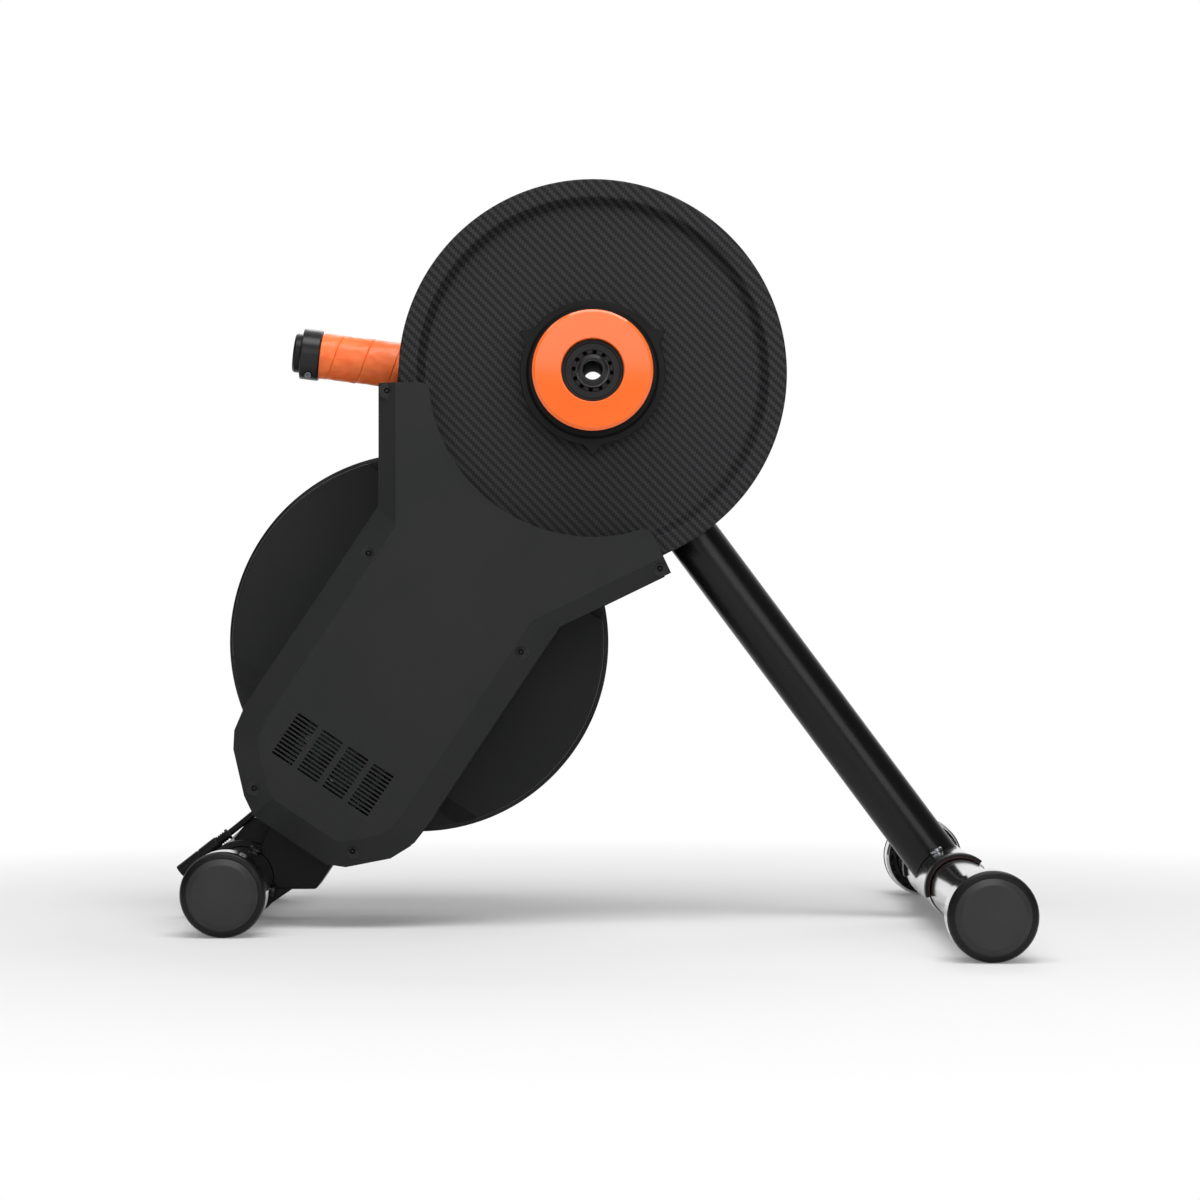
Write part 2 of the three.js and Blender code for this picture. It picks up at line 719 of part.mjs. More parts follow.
// Stand: strut, crossbars, foot block, caps
function frontStrut() {
  const top = onStrut(socketReach - socketDepth + slack);
  const foot = strutFoot;
  const bore = strutBody(
    onStrut(socketReach - socketDepth - overrun), onStrut(strutAim.distanceTo(foot) + overrun),
    strutRadius - strutWall,
  );
  const cope = placed(
    rod(sleeveRadius + fit, strutPlane - 2 * strutRadius, strutPlane + 2 * strutRadius), frontBar.x, 0,
    frontBar.y,
  );
  return without(
    strutBody(top, foot, strutRadius), [bore, cope, placed(boltSeat(), strutBolt.x, 0, strutBolt.z)],
  );
}
add('front_strut', frontStrut(), blackPaint);
const strutBoltLength = socketWall + strutWall + strutBoltRadius;
const boltPlace = groupAt(strutBolt.x, strutBolt.z);
add(
  'strut_bolt', capScrew(strutBoltFace + fit, strutBoltLength, strutBoltRadius, strutBoltHead), steel,
  boltPlace,
);

const frontFoot = groupAt(frontBar.x, frontBar.y);
const rearFoot = groupAt(rearBar.x, rearBar.y, rearPlane);
const sleeveNear = strutPlane - sleeveHalf;
const sleeveFar = strutPlane + sleeveHalf;
const barEnd = frontHalfSpan - capLength - fit;
const rearBarEnd = rearHalfSpan - capLength - fit;

add('front_crossbar', ring(barRadius, barRadius - barWall, -barEnd, barEnd), polished, frontFoot);
const saddleBoltPlane = strutPlane - strutRadius - barBoltHead - slack;
add('front_sleeve', ring(sleeveRadius, barRadius + fit, sleeveNear + fit, sleeveFar - fit)
  .subtract(radialHole(sleeveRadius, saddleBoltTurn, saddleBoltPlane)), polished, frontFoot);
for (const [name, near] of [['near', sleeveNear - collarWidth], ['far', sleeveFar]]) {
  add(
    `sleeve_collar_${name}`, ring(collarRadius, barRadius + fit, near, near + collarWidth), blackPlastic,
    frontFoot,
  );
}
add(
  'saddle_bolt', radialBolt(sleeveRadius, saddleBoltTurn, saddleBoltPlane, sleeveRadius - barRadius - fit),
  steel, frontFoot,
);
const barBoltPlane = footNear - barBoltSetback - rearPlane;
add('rear_crossbar', without(
  ring(rearBarRadius, rearBarRadius - barWall, -rearBarEnd, rearBarEnd),
  barBoltTurns.map((turn) => radialHole(rearBarRadius, turn, barBoltPlane)),
), polished, rearFoot);
barBoltTurns.forEach((turn, i) => (
  add(`rear_foot_bolt_${i + 1}`, radialBolt(rearBarRadius, turn, barBoltPlane, 2 * barWall), steel, rearFoot)
));

// A bolt set square into a tube's side, and the hole for it
function turnedOut(body, turn) {
  return body.rotate([0, 0, -90]).rotate([0, -THREE.MathUtils.radToDeg(turn), 0]);
}

function radialBolt(tube, turn, y, sunk) {
  const head = rod(barBoltHead, tube + fit, tube + fit + barBoltRadius, smallSides);
  const shank = rod(barBoltRadius, tube - sunk + fit, tube + fit + barBoltRadius / 2, smallSides);
  return placed(turnedOut(head.add(shank), turn), 0, y, 0);
}

function radialHole(tube, turn, y) {
  return placed(turnedOut(rod(barBoltRadius + fit, tube / 2, tube + overrun, smallSides), turn), 0, y, 0);
}

// An end cap is a rounded black cup; a polished band sits behind it on the tube
function endCap(tube) {
  const round = [0, 0.5, 1].map((quarterShare) => {
    const turn = (Math.PI / 2) * quarterShare;
    return [
      footRadius - capRound + capRound * Math.sin(turn), -capLength + capRound - capRound * Math.cos(turn),
    ];
  });
  const inset = footRadius - capRound - capBevel;
  const face = [
    [0, -capLength + capBevel / 4], [inset, -capLength + capBevel / 4], [inset + capBevel, -capLength],
  ];
  return turned(
    [
      ...face, ...round, [footRadius, 0], [tube - 2 * fit, 0], [tube - 2 * fit, -capLength / 3],
      [0, -capLength / 3],
    ],
  );
}

function endBand(tube) {
  const inner = tube + fit;
  return turned([
    [inner, fit], [footRadius, fit], [footRadius, bandLength - capBevel], [footRadius - capBevel, bandLength],
    [inner, bandLength], [inner, fit],
  ]);
}

function addFoot(prefix, suffix, group, halfSpan, tube) {
  const end = new THREE.Group();
  end.position.y = suffix === 'near' ? -(halfSpan - capLength) : halfSpan - capLength;
  if (suffix === 'far') end.rotation.z = Math.PI;
  group.add(end);
  add(`${prefix}_cap_${suffix}`, endCap(tube), rubber, end);
  add(`${prefix}_band_${suffix}`, endBand(tube), polished, end);
}
for (const suffix of ['near', 'far']) {
  addFoot('front', suffix, frontFoot, frontHalfSpan, barRadius);
  addFoot('rear', suffix, rearFoot, rearHalfSpan, rearBarRadius);
}
add('rear_foot_block', rearFootBlock(), blackPaint);

// Drive: large pulley, belt, idler, small pulley, flywheel and brake
const hubGroup = groupAt(hub.x, hub.y);
const shaftGroup = groupAt(flywheelAxis.x, flywheelAxis.y);
const pulleyFar = pulleyNear + pulleyWidth;
const beltSeat = pulleyRadius - beltThick - fit;
const pulleyHubNear = pulleyNear + slack;
const pulleyHubFar = pulleyHubNear + pulleyHubLength;
const beltNear = pulleyNear + (pulleyWidth - beltWidth) / 2;
const beltFar = beltNear + beltWidth;

function drivePulley() {
  const lip = (pulleyWidth - beltWidth) / 2 - fit;
  const webNear = pulleyNear + pulleyDish;
  const bandInner = pulleyRadius - pulleyBand;
  return turned([
    [hubBearingRadius + fit, pulleyHubNear], [pulleyHubRadius, pulleyHubNear], [pulleyHubRadius, webNear],
    [bandInner - 2 * pulleyWeb, webNear], [bandInner - pulleyWeb / 2, webNear - pulleyWeb / 5],
    [bandInner, pulleyNear], [pulleyRadius, pulleyNear], [pulleyRadius, pulleyNear + lip],
    [beltSeat, pulleyNear + lip], [beltSeat, pulleyFar - lip], [pulleyRadius, pulleyFar - lip],
    [pulleyRadius, pulleyFar], [bandInner + pulleyWeb / 2, pulleyFar],
    [bandInner - pulleyWeb / 2, webNear + pulleyWeb],
    [pulleyHubRadius, webNear + pulleyWeb], [pulleyHubRadius, pulleyHubFar],
    [hubBearingRadius + fit, pulleyHubFar], [hubBearingRadius + fit, pulleyHubNear],
  ], fineSides);
}
add('drive_pulley', drivePulley(), carbonWeave, hubGroup);

// The belt's path: round the large pulley and the small one
function beltOutline(gap) {
  const large = beltSeat + fit + gap;
  const small = smallPulleyRadius + fit + gap;
  const wrap = Math.acos((large - small) / beltCentres);
  const shape = [];
  const arc = (centre, radius, from, to, count) => {
    for (let i = 0; i <= count; i += 1) {
      const turn = from + ((to - from) * i) / count;
      shape.push(
        centre.clone().addScaledVector(along, radius * Math.cos(turn)).addScaledVector(
          across, radius * Math.sin(turn),
        ),
      );
    }
  };
  arc(hub, large, wrap, 2 * Math.PI - wrap, fineSides);
  arc(flywheelAxis, small, -wrap, wrap, smallSides);
  return new THREE.Shape(shape);
}
add('drive_belt', plate(beltOutline(beltThick), beltNear, beltFar)
  .subtract(plate(beltOutline(0), beltNear - overrun, beltFar + overrun)), rubber);

function smallPulley() {
  const bore = shaftRadius + fit;
  const lipRadius = smallPulleyRadius + smallPulleyLip;
  const lip = (pulleyWidth - beltWidth) / 2 - fit;
  return turned([
    [bore, pulleyNear], [lipRadius, pulleyNear], [lipRadius, pulleyNear + lip],
    [smallPulleyRadius, pulleyNear + lip],
    [smallPulleyRadius, pulleyFar - lip], [lipRadius, pulleyFar - lip], [lipRadius, pulleyFar],
    [bore, pulleyFar],
    [bore, pulleyNear],
  ]);
}
add('small_pulley', smallPulley(), steel, shaftGroup);

// The idler presses on the back of the front run from outside the loop
const runTurn = Math.asin((beltSeat - smallPulleyRadius) / beltCentres);
const runOut = across.clone().multiplyScalar(Math.cos(runTurn)).addScaledVector(along, Math.sin(runTurn));
const runDown = along.clone().multiplyScalar(Math.cos(runTurn)).addScaledVector(across, -Math.sin(runTurn));
const idlerAxis = hub.clone().addScaledVector(runDown, beltCentres * idlerPlaceShare)
  .addScaledVector(runOut, beltSeat + fit + beltThick + idlerRadius + fit);
const idlerGroup = groupAt(idlerAxis.x, idlerAxis.y);
const idlerNear = beltNear - idlerLip;
const idlerFar = beltFar + idlerLip;
const idlerHeadNear = idlerNear - slack - idlerHeadThick;
add('idler_pulley', ring(idlerRadius, idlerBore + fit, idlerNear, idlerFar, bearingSides), steel, idlerGroup);
add('idler_bolt', rod(idlerBore, idlerNear - slack, idlerFar + slack, smallSides)
  .add(rod(idlerBore * 1.5, idlerHeadNear, idlerNear - slack, smallSides))
  .add(rod(idlerBore * 0.6, idlerFar, frameBack - frameFloor - fit, smallSides)), steel, idlerGroup);

function flywheel() {
  const far = flywheelNear + flywheelWidth;
  const inner = flywheelRadius - flywheelRim;
  const chamfer = flywheelChamfer;
  return turned([
    [shaftRadius + fit, far - flywheelWeb], [inner, far - flywheelWeb],
    [inner, flywheelNear], [flywheelRadius - slack, flywheelNear], [flywheelRadius, flywheelNear + slack],
    [flywheelRadius, far - chamfer], [flywheelRadius - chamfer, far],
    [inner, far], [inner - chamfer, far - chamfer], [flywheelHub, far - chamfer], [flywheelHub, far],
    [shaftRadius + fit, far], [shaftRadius + fit, far - flywheelWeb],
  ], fineSides);
}
add('flywheel', flywheel(), castIron, shaftGroup);
const shaftNear = pulleyNear - shaftNearEnd;
const shaftFar = flywheelNear + flywheelWidth + shaftFarEnd;
const nutFace = flywheelNear + flywheelWidth + fit;
add('flywheel_shaft', rod(shaftRadius, shaftNear, shaftFar), steel, shaftGroup);
add('flywheel_nut', rod(flywheelHub / 2, nutFace, nutFace + nutThick, 6)
  .subtract(rod(shaftRadius + fit, nutFace - overrun, nutFace + overrun + nutThick)), steel, shaftGroup);
const bearingSeats = [['inner', coverBack + bearingInset], ['outer', bearingTubeEnd - bearingWidth - slack]];
for (const [name, near] of bearingSeats) {
  add(
    `flywheel_bearing_${name}`,
    ring(bearingRadius, shaftRadius + fit, near, near + bearingWidth, bearingSides), steel, shaftGroup,
  );
}
add('flywheel_shroud', flywheelShroud(), blackPlastic);
add('brake_core', brakeCore(), steel, shaftGroup);
add('brake_coils', brakeCoils(), copper, shaftGroup);

function brakeCore() {
  const far = coreNear + coreThick;
  const tip = flywheelRadius - flywheelRim - poleGap;
  const ringPart = ring(coreRadius, bearingTube + fit, coreNear, far);
  return joined(
    [
      ringPart,
      ...poles((coreRadius - poleRoot + tip) / 2, tip - coreRadius + poleRoot, coreThick, poleWidth),
    ],
  );
}

function poles(middle, long, deep, wide) {
  return Array.from({ length: poleCount }, (_, i) => {
    const turn = (360 * i) / poleCount;
    return block(middle, coreNear + coreThick / 2, 0, long, deep, wide).rotate([0, turn, 0]);
  });
}

function brakeCoils() {
  const middle = (coilFrom + coilTo) / 2;
  const long = coilTo - coilFrom;
  const outside = poles(middle, long, coreThick + 2 * coilDepth, poleWidth + 2 * coilWall);
  const loom = ring(coilFrom + coilDepth, coreRadius + fit, coreNear - coilDepth, coreNear - fit);
  const inside = poles(middle, long + overrun, coreThick + 2 * fit, poleWidth + 2 * fit);
  return without(joined([loom, ...outside]), inside);
}

// Rear foot block: it hangs under the tray and clamps the rear crossbar
function rearFootBlock() {
  const top = coverLength + frameLip + fit;
  const sides = [footShift - footHalfWidth, footShift + footHalfWidth];
  const heelReach = (hub.y - footHeel + across.y * sides[1]) / -along.y;
  const outline = new THREE.Shape([
    onBelt(top, sides[0]), onBelt(top, sides[1]), onBelt(heelReach, sides[1]),
    new THREE.Vector2(rearBar.x, footHeel),
  ]);
  const far = footNear + footWide;
  const saddle = placed(rod(saddleRadius, footNear, far), rearBar.x, 0, rearBar.y);
  const bore = placed(rod(rearBarRadius + fit, footNear - overrun, far + overrun), rearBar.x, 0, rearBar.y);
  return plate(outline, footNear, far).add(saddle).subtract(bore);
}

// Hub: fixed axle, freehub, single cog between its two guards, lock ring and end caps
const capFace = dropoutSpan / 2;
const lockRingNear = freehubNear - fit - lockRingThick;
const cogNear = cogPlane - cogThick / 2;
const cogFar = cogPlane + cogThick / 2;
const axleNear = lockRingNear - axleNose;
const axleFar = hubBossBack;

add('hub_axle', ring(axleRadius, axleBore, axleNear, axleFar, bearingSides), steel, hubGroup);
add(
  'pulley_bearing_inner',
  ring(hubBearingRadius, axleRadius + fit, pulleyHubFar - hubBearingWidth, pulleyHubFar, bearingSides),
  steel, hubGroup,
);
add(
  'pulley_bearing_outer',
  ring(hubBearingRadius, axleRadius + fit, pulleyHubNear, pulleyHubNear + hubBearingWidth, bearingSides),
  steel, hubGroup,
);
add('freehub_body', ring(freehubRadius, freehubBore, freehubNear, freehubFar, bearingSides), steel, hubGroup);
add(
  'freehub_bearing',
  ring(freehubBore - fit, axleRadius + fit, freehubNear + slack, freehubFar - slack, bearingSides), steel,
  hubGroup,
);

function cog() {
  const pitchRadius = cogPitch / (2 * Math.sin(Math.PI / cogTeeth));
  const tip = pitchRadius + cogPitch * 0.2;
  const root = pitchRadius - cogPitch * 0.31;
  const toothShares = [[-0.5, root], [-0.28, root], [-0.1, tip], [0.1, tip], [0.28, root]];
  const points = [];
  for (let tooth = 0; tooth < cogTeeth; tooth += 1) {
    for (const [share, radius] of toothShares) {
      const turn = (2 * Math.PI * (tooth + share)) / cogTeeth;
      points.push(new THREE.Vector2(radius * Math.cos(turn), radius * Math.sin(turn)));
    }
  }
  return plate(new THREE.Shape(points), cogNear, cogFar)
    .subtract(rod(freehubRadius + fit, cogNear - overrun, cogFar + overrun));
}
add('cog', cog(), steel, hubGroup);
const innerGuardFar = innerGuardNear + innerGuardThick;

function innerGuard() {
  const collarNear = innerGuardNear - innerCollarDepth;
  const plateRing = ring(innerGuardRadius, freehubRadius + fit, innerGuardNear, innerGuardFar, guardSides);
  const neck = ring(neckRadius, freehubRadius + fit, cogFar + fit, innerGuardFar);
  const collar = turned([
    [innerCollarRadius - innerCollarWall, innerGuardFar], [innerCollarRadius - innerCollarWall, collarNear],
    [innerCollarRadius - slack, collarNear], [innerCollarRadius, collarNear + slack],
    [innerCollarRadius + slack, innerGuardFar],
    [innerCollarRadius - innerCollarWall, innerGuardFar],
  ], guardSides);
  const ears = [30, 150, 270].map((degrees) => {
    const turn = THREE.MathUtils.degToRad(degrees);
    const at = (radius, swing) => new THREE.Vector2(
      radius * Math.cos(turn + swing), radius * Math.sin(turn + swing),
    );
    const foot = earWidth / innerGuardRadius;
    const inner = innerGuardRadius - earRoot;
    return plate(new THREE.Shape(
      [at(inner, -foot), at(earRadius, -foot / 6), at(earRadius, foot / 6), at(inner, foot)],
    ),
      innerGuardNear, innerGuardFar);
  });
  return joined([plateRing, neck, collar, ...ears]);
}
add('inner_guard', innerGuard(), blackPlastic, hubGroup);

function outerGuard() {
  const rim = guardRadius;
  const neckEnd = cogNear - fit;
  const seat = lockRingNear + lockRingThick;
  return turned([
    [freehubRadius + fit, neckEnd], [guardSeat, neckEnd], [guardSeat, guardBack],
    [rim - guardBevel, guardBack],
    [rim, guardBack - guardBevel], [rim, guardFace + guardBevel], [rim - guardBevel, guardFace],
    [guardHole, guardFace], [guardHole, seat + fit], [freehubRadius + fit, seat + fit],
    [freehubRadius + fit, neckEnd],
  ], guardSides);
}
add('outer_guard', outerGuard(), orangePlastic, hubGroup);

function lockRing() {
  const body = ring(lockRingRadius, lockRingBore, lockRingNear, lockRingNear + lockRingThick);
  const notches = Array.from({ length: lockNotches }, (_, i) => (
    block(
      lockRingBore, lockRingNear, 0, 2 * lockNotchDepth, lockRingThick, lockNotchDepth,
    ).rotate([0, (360 * i) / lockNotches, 0])
  ));
  return without(body, notches);
}
add('lock_ring', lockRing(), blackPaint, hubGroup);
add('drive_end_cap', ring(capNoseRadius, axleBore, -capFace, axleNear - fit, bearingSides), steel, hubGroup);
add('far_end_cap', ring(farCapRadius, axleBore, axleFar + fit, capFace, bearingSides), steel, hubGroup);

// Handle: a taped bar out of the tray's head, ended by a clamp collar and a plug
const handle = new THREE.Group();
handle.position.copy(handleRoot);
handle.quaternion.setFromUnitVectors(new THREE.Vector3(0, 1, 0), handleWay);
model.add(handle);
const clampEnd = handleReach - plugLength;
const clampStart = clampEnd - clampLength;
const barBore = barTubeRadius - strutWall;
add('handle_bar', ring(barTubeRadius, barBore, headRadius + slack, clampEnd - fit), steel, handle);
add('handle_tape', ring(tapeRadius, barTubeRadius + fit, tapeStart, clampStart - fit), orangeTape, handle);

const clampMiddle = (clampStart + clampEnd) / 2;
const clampScrewDrop = (barTubeRadius + clampRadius) / 2;
function handleClamp() {
  const body = turned([
    [barTubeRadius + fit, clampStart], [clampRadius - slack, clampStart], [clampRadius, clampStart + slack],
    [clampRadius, clampEnd - slack], [clampRadius - slack, clampEnd], [barTubeRadius + fit, clampEnd],
    [barTubeRadius + fit, clampStart],
  ]);
  return body.subtract(clampScrewBody(fit, overrun));
}

// The pinch screw crosses the underside of the clamp, along the trainer's Y
function clampScrewBody(grow, longer) {
  const half = clampRadius / 2;
  const shank = rod(clampScrewRadius + grow, -half - longer, half + longer, smallSides);
  const head = rod(1.6 * clampScrewRadius + grow, -half - longer, -half + clampHeadLength, smallSides);
  return placed(shank.add(head).rotate([90, 0, 0]), -clampScrewDrop, clampMiddle, 0);
}
add('handle_clamp', handleClamp(), blackPaint, handle);
add('clamp_screw', clampScrewBody(0, 0), steel, handle);
add('handle_plug', turned([
  [0, clampEnd - plugLength], [barBore - fit, clampEnd - plugLength], [barBore - fit, clampEnd + fit],
  [plugRadius, clampEnd + fit], [plugRadius, handleReach - plugChamfer],
  [plugRadius - plugChamfer, handleReach], [0, handleReach],
]), rubber, handle);

// Power lead
const leadGroup = (reach) => {
  const group = new THREE.Group();
  group.position.copy(onLead(reach));
  group.quaternion.setFromUnitVectors(new THREE.Vector3(0, 1, 0), leadOut);
  model.add(group);
  return group;
};
const glandStart = frameLip + glandStep;
const glandSleeve = leadHoleRadius - fit;
add('lead_gland', turned([
  [leadRadius + fit, -2 * frameWall], [glandSleeve, -2 * frameWall], [glandSleeve, glandStart],
  [glandCollar, glandStart], [glandRadius, glandLength], [leadRadius + fit, glandLength],
  [leadRadius + fit, -2 * frameWall],
], smallSides), rubber, leadGroup(0));

function leadTube() {
  const section = new THREE.Shape(Array.from({ length: smallSides }, (_, i) => {
    const turn = (2 * Math.PI * i) / smallSides;
    return new THREE.Vector2(leadRadius * Math.cos(turn), leadRadius * Math.sin(turn));
  }));
  const path = new THREE.CatmullRomCurve3(leadRoute);
  return solid(new THREE.ExtrudeGeometry(section, { steps: leadRoute.length - 1, extrudePath: path }));
}
add('power_lead', leadTube(), rubber);

const leadEnd = new THREE.Group();
leadEnd.position.copy(leadRoute[leadRoute.length - 1]).addScaledVector(leadOut, fit);
leadEnd.quaternion.setFromUnitVectors(new THREE.Vector3(0, 1, 0), leadOut);
model.add(leadEnd);
const connectorEnd = reliefLength + connectorLength;
add('lead_connector', turned([
  [0, fit], [leadRadius + 2 * fit, fit], [reliefRadius, reliefLength], [connectorRadius - fit, reliefLength],
  [connectorRadius, reliefLength + slack], [connectorRadius, connectorEnd], [socketRadius, connectorEnd],
  [socketRadius, connectorEnd - connectorLength / 2], [0, connectorEnd - connectorLength / 2],
], smallSides), rubber, leadEnd);

export default model;
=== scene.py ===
# A direct drive bike trainer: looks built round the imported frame.
# Sizes are millimetres in the tables and metres in the meshes.
# X points to the bike's front, Y away from the cog and Z up.

import math

import bmesh
import bpy
from mathutils import Matrix, Vector


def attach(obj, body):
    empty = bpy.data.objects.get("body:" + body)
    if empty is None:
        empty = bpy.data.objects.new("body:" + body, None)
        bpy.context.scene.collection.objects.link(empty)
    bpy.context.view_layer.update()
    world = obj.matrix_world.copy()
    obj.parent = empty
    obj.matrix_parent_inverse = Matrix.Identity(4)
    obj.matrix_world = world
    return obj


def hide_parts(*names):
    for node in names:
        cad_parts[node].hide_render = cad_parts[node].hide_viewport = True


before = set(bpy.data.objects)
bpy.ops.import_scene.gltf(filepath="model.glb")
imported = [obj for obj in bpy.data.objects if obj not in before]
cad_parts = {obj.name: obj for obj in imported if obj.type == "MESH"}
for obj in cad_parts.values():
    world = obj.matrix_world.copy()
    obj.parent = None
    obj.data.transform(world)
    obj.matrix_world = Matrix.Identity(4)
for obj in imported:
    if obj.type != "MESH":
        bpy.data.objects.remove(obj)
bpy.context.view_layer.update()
scene = bpy.context.scene
mm = 0.001
fit = 0.3  # clearance where one piece seats in or on another
overlap = 5.0  # how far a cutter runs past what it cuts

# Camera: level, square on to the cog side. The image is taken to be 1200 by 1200.
cameraSet = {"place": (3.0, -2275.0, 215.3), "lens": 109.23, "imageSide": 1200, "horizonRow": 580}
cameraData = bpy.data.cameras.new("camera")
cameraData.lens = cameraSet["lens"]
cameraData.sensor_width = 36
cameraData.shift_y = (cameraSet["horizonRow"] - cameraSet["imageSide"] / 2) / cameraSet["imageSide"]
cameraData.clip_end = 50
camera = bpy.data.objects.new("camera", cameraData)
camera.location = [value * mm for value in cameraSet["place"]]
camera.rotation_euler = (math.radians(90), 0, 0)
scene.collection.objects.link(camera)
scene.camera = camera
scene.view_settings.view_transform = "Standard"


# An sRGB colour as the linear numbers that the shaders take
def linear(hexColour):
    parts = [int(hexColour[i:i + 2], 16) / 255 for i in (1, 3, 5)]
    return [*(c / 12.92 if c <= 0.04045 else ((c + 0.055) / 1.055) ** 2.4 for c in parts), 1.0]


# Adds one node, with its settings, and its inputs as values or as links
def put(tree, kind, inputs=None, **settings):
    made = tree.nodes.new(kind)
    for name, value in settings.items():
        setattr(made, name, value)
    for name, value in (inputs or {}).items():
        if isinstance(value, bpy.types.NodeSocket):
            tree.links.new(value, made.inputs[name])
        else:
            made.inputs[name].default_value = value
    return made


# Geometry helpers, all in millimetres until the mesh is written
# An object from points in millimetres
def pieceFrom(name, points, faces, material=None):
    mesh = bpy.data.meshes.new(name)
    mesh.from_pydata([Vector(p) * mm for p in points], [], faces)
    mesh.update()
    piece = bpy.data.objects.new(name, mesh)
    scene.collection.objects.link(piece)
    if material:
        mesh.materials.append(material)
    return piece


# A loft of closed rings of points, capped where asked; each ring has as many points as the last
def loft(rings, capStart=False, capEnd=False, wrap=False):
    count = len(rings[0])
    points = [p for ring in rings for p in ring]
    faces = []
    steps = len(rings) if wrap else len(rings) - 1
    for i in range(steps):
        a, b = i * count, ((i + 1) % len(rings)) * count
        for j in range(count):
            k = (j + 1) % count
            faces.append((a + j, a + k, b + k, b + j))
    if capStart:
        faces.append(tuple(reversed(range(count))))
    if capEnd:
        faces.append(tuple(range(len(points) - count, len(points))))
    return points, faces


# Rounds the corners of a profile: each corner is (radius, y) or (radius, y, fillet)
def filleted(corners, closed, steps=4):
    count = len(corners)
    out = []
    for i, corner in enumerate(corners):
        here = Vector(corner[:2])
        fillet = corner[2] if len(corner) > 2 else 0
        if not fillet or (not closed and i in (0, count - 1)):
            out.append(here)
            continue
        before = (Vector(corners[i - 1][:2]) - here).normalized()
        after = (Vector(corners[(i + 1) % count][:2]) - here).normalized()
        half = before.angle(after) / 2
        reach = fillet / math.tan(half)
        middle = here + (before + after).normalized() * (fillet / math.sin(half))
        start, end = here + before * reach, here + after * reach
        for k in range(steps + 1):
            t = k / steps
            way = (start - middle).lerp(end - middle, t).normalized()
            out.append(middle + way * fillet)
    return out


# Turns a profile of (radius, y) about the Y axis through a point
def turned(name, corners, centre=(0, 0, 0), closed=True, sides=128, material=None, steps=4, start=0.0):
    profile = filleted(corners, closed, steps)
    rings = []
    for i in range(sides):
        turn = start + 2 * math.pi * i / sides
        rings.append([(
            centre[0] + r * math.cos(turn), centre[1] + y, centre[2] + r * math.sin(turn))
            for r, y in profile])
    count = len(profile)
    points, faces = [p for ring in rings for p in ring], []
    for i in range(sides):
        a, b = i * count, ((i + 1) % sides) * count
        for j in range(count if closed else count - 1):
            k = (j + 1) % count
            faces.append((a + j, a + k, b + k, b + j))
    piece = pieceFrom(name, points, faces, material)
    return tidied(piece)


# Merges doubles, closes poles and turns the faces outwards
def tidied(piece, distance=0.002):
    bm = bmesh.new()
    bm.from_mesh(piece.data)
    bmesh.ops.remove_doubles(bm, verts=bm.verts, dist=distance * mm)
    bmesh.ops.dissolve_degenerate(bm, dist=distance * mm, edges=bm.edges)
    bmesh.ops.recalc_face_normals(bm, faces=bm.faces)
    bm.to_mesh(piece.data)
    bm.free()
    return piece


# The plain mesh of a piece with its modifiers applied
def settled(piece):
    graph = bpy.context.evaluated_depsgraph_get()
    graph.update()
    made = piece.evaluated_get(graph)
    mesh = bpy.data.meshes.new_from_object(made, preserve_all_data_layers=True, depsgraph=graph)
    piece.modifiers.clear()
    old = piece.data
    piece.data = mesh
    if old.users == 0:
        bpy.data.meshes.remove(old)
    return piece


# Small rounded edges where faces meet sharply, then shading that keeps the flats flat
def edged(piece, width=0.5, segments=2, angle=32):
    if width:
        bevel = piece.modifiers.new("edges", "BEVEL")
        bevel.width = width * mm
        bevel.segments = segments
        bevel.limit_method = "ANGLE"
        bevel.angle_limit = math.radians(angle)
        bevel.use_clamp_overlap = True
        bevel.miter_outer = "MITER_ARC"
        settled(piece)
    piece.data.shade_smooth()
    piece.data.set_sharp_from_angle(angle=math.radians(angle))
    flat = piece.modifiers.new("normals", "WEIGHTED_NORMAL")
    flat.keep_sharp = True
    flat.weight = 100
    return settled(piece)


# A convex body round rings of (x, z) points, each ring at its own Y
def hulled(name, rings, material=None):
    bm = bmesh.new()
    for ring, y in rings:
        for p in ring:
            bm.verts.new(Vector((p[0], y, p[1])) * mm)
    bmesh.ops.convex_hull(bm, input=bm.verts)
    loose = [v for v in bm.verts if not v.link_faces]
    bmesh.ops.delete(bm, geom=loose, context="VERTS")
    bmesh.ops.dissolve_limit(bm, angle_limit=math.radians(0.5), verts=bm.verts, edges=bm.edges)
    bmesh.ops.recalc_face_normals(bm, faces=bm.faces)
    mesh = bpy.data.meshes.new(name)
    bm.to_mesh(mesh)
    bm.free()
    piece = bpy.data.objects.new(name, mesh)
    scene.collection.objects.link(piece)
    if material:
        mesh.materials.append(material)
    return piece


# Joins or cuts bodies, one after another, and drops the tools
def combined(base, tools, operation):
    for tool in tools:
        change = base.modifiers.new("change", "BOOLEAN")
        change.operation = operation
        change.solver = "EXACT"
        change.object = tool
        settled(base)
        dropped(tool)
    return base


# Removes pieces and their meshes
def dropped(*pieces):
    for piece in pieces:
        mesh = piece.data
        bpy.data.objects.remove(piece)
        if mesh and mesh.users == 0:
            bpy.data.meshes.remove(mesh)


# A rod along Y; its corners start off axis, so that they never fall on those of what it cuts
def rod(name, radius, near, far, x=0, z=0, sides=64, material=None):
    corners = [(0, near), (radius, near), (radius, far), (0, far)]
    return turned(name, corners, (x, 0, z), False, sides, material, start=1 / sides)


# Turns a piece that was made along Y to another way, and moves it to its root
def toWay(piece, root, way):
    turn = Vector((0, 1, 0)).rotation_difference(Vector(way)).to_matrix().to_4x4()
    piece.data.transform(Matrix.Translation(Vector(root) * mm) @ turn)
    piece.data.update()
    return piece


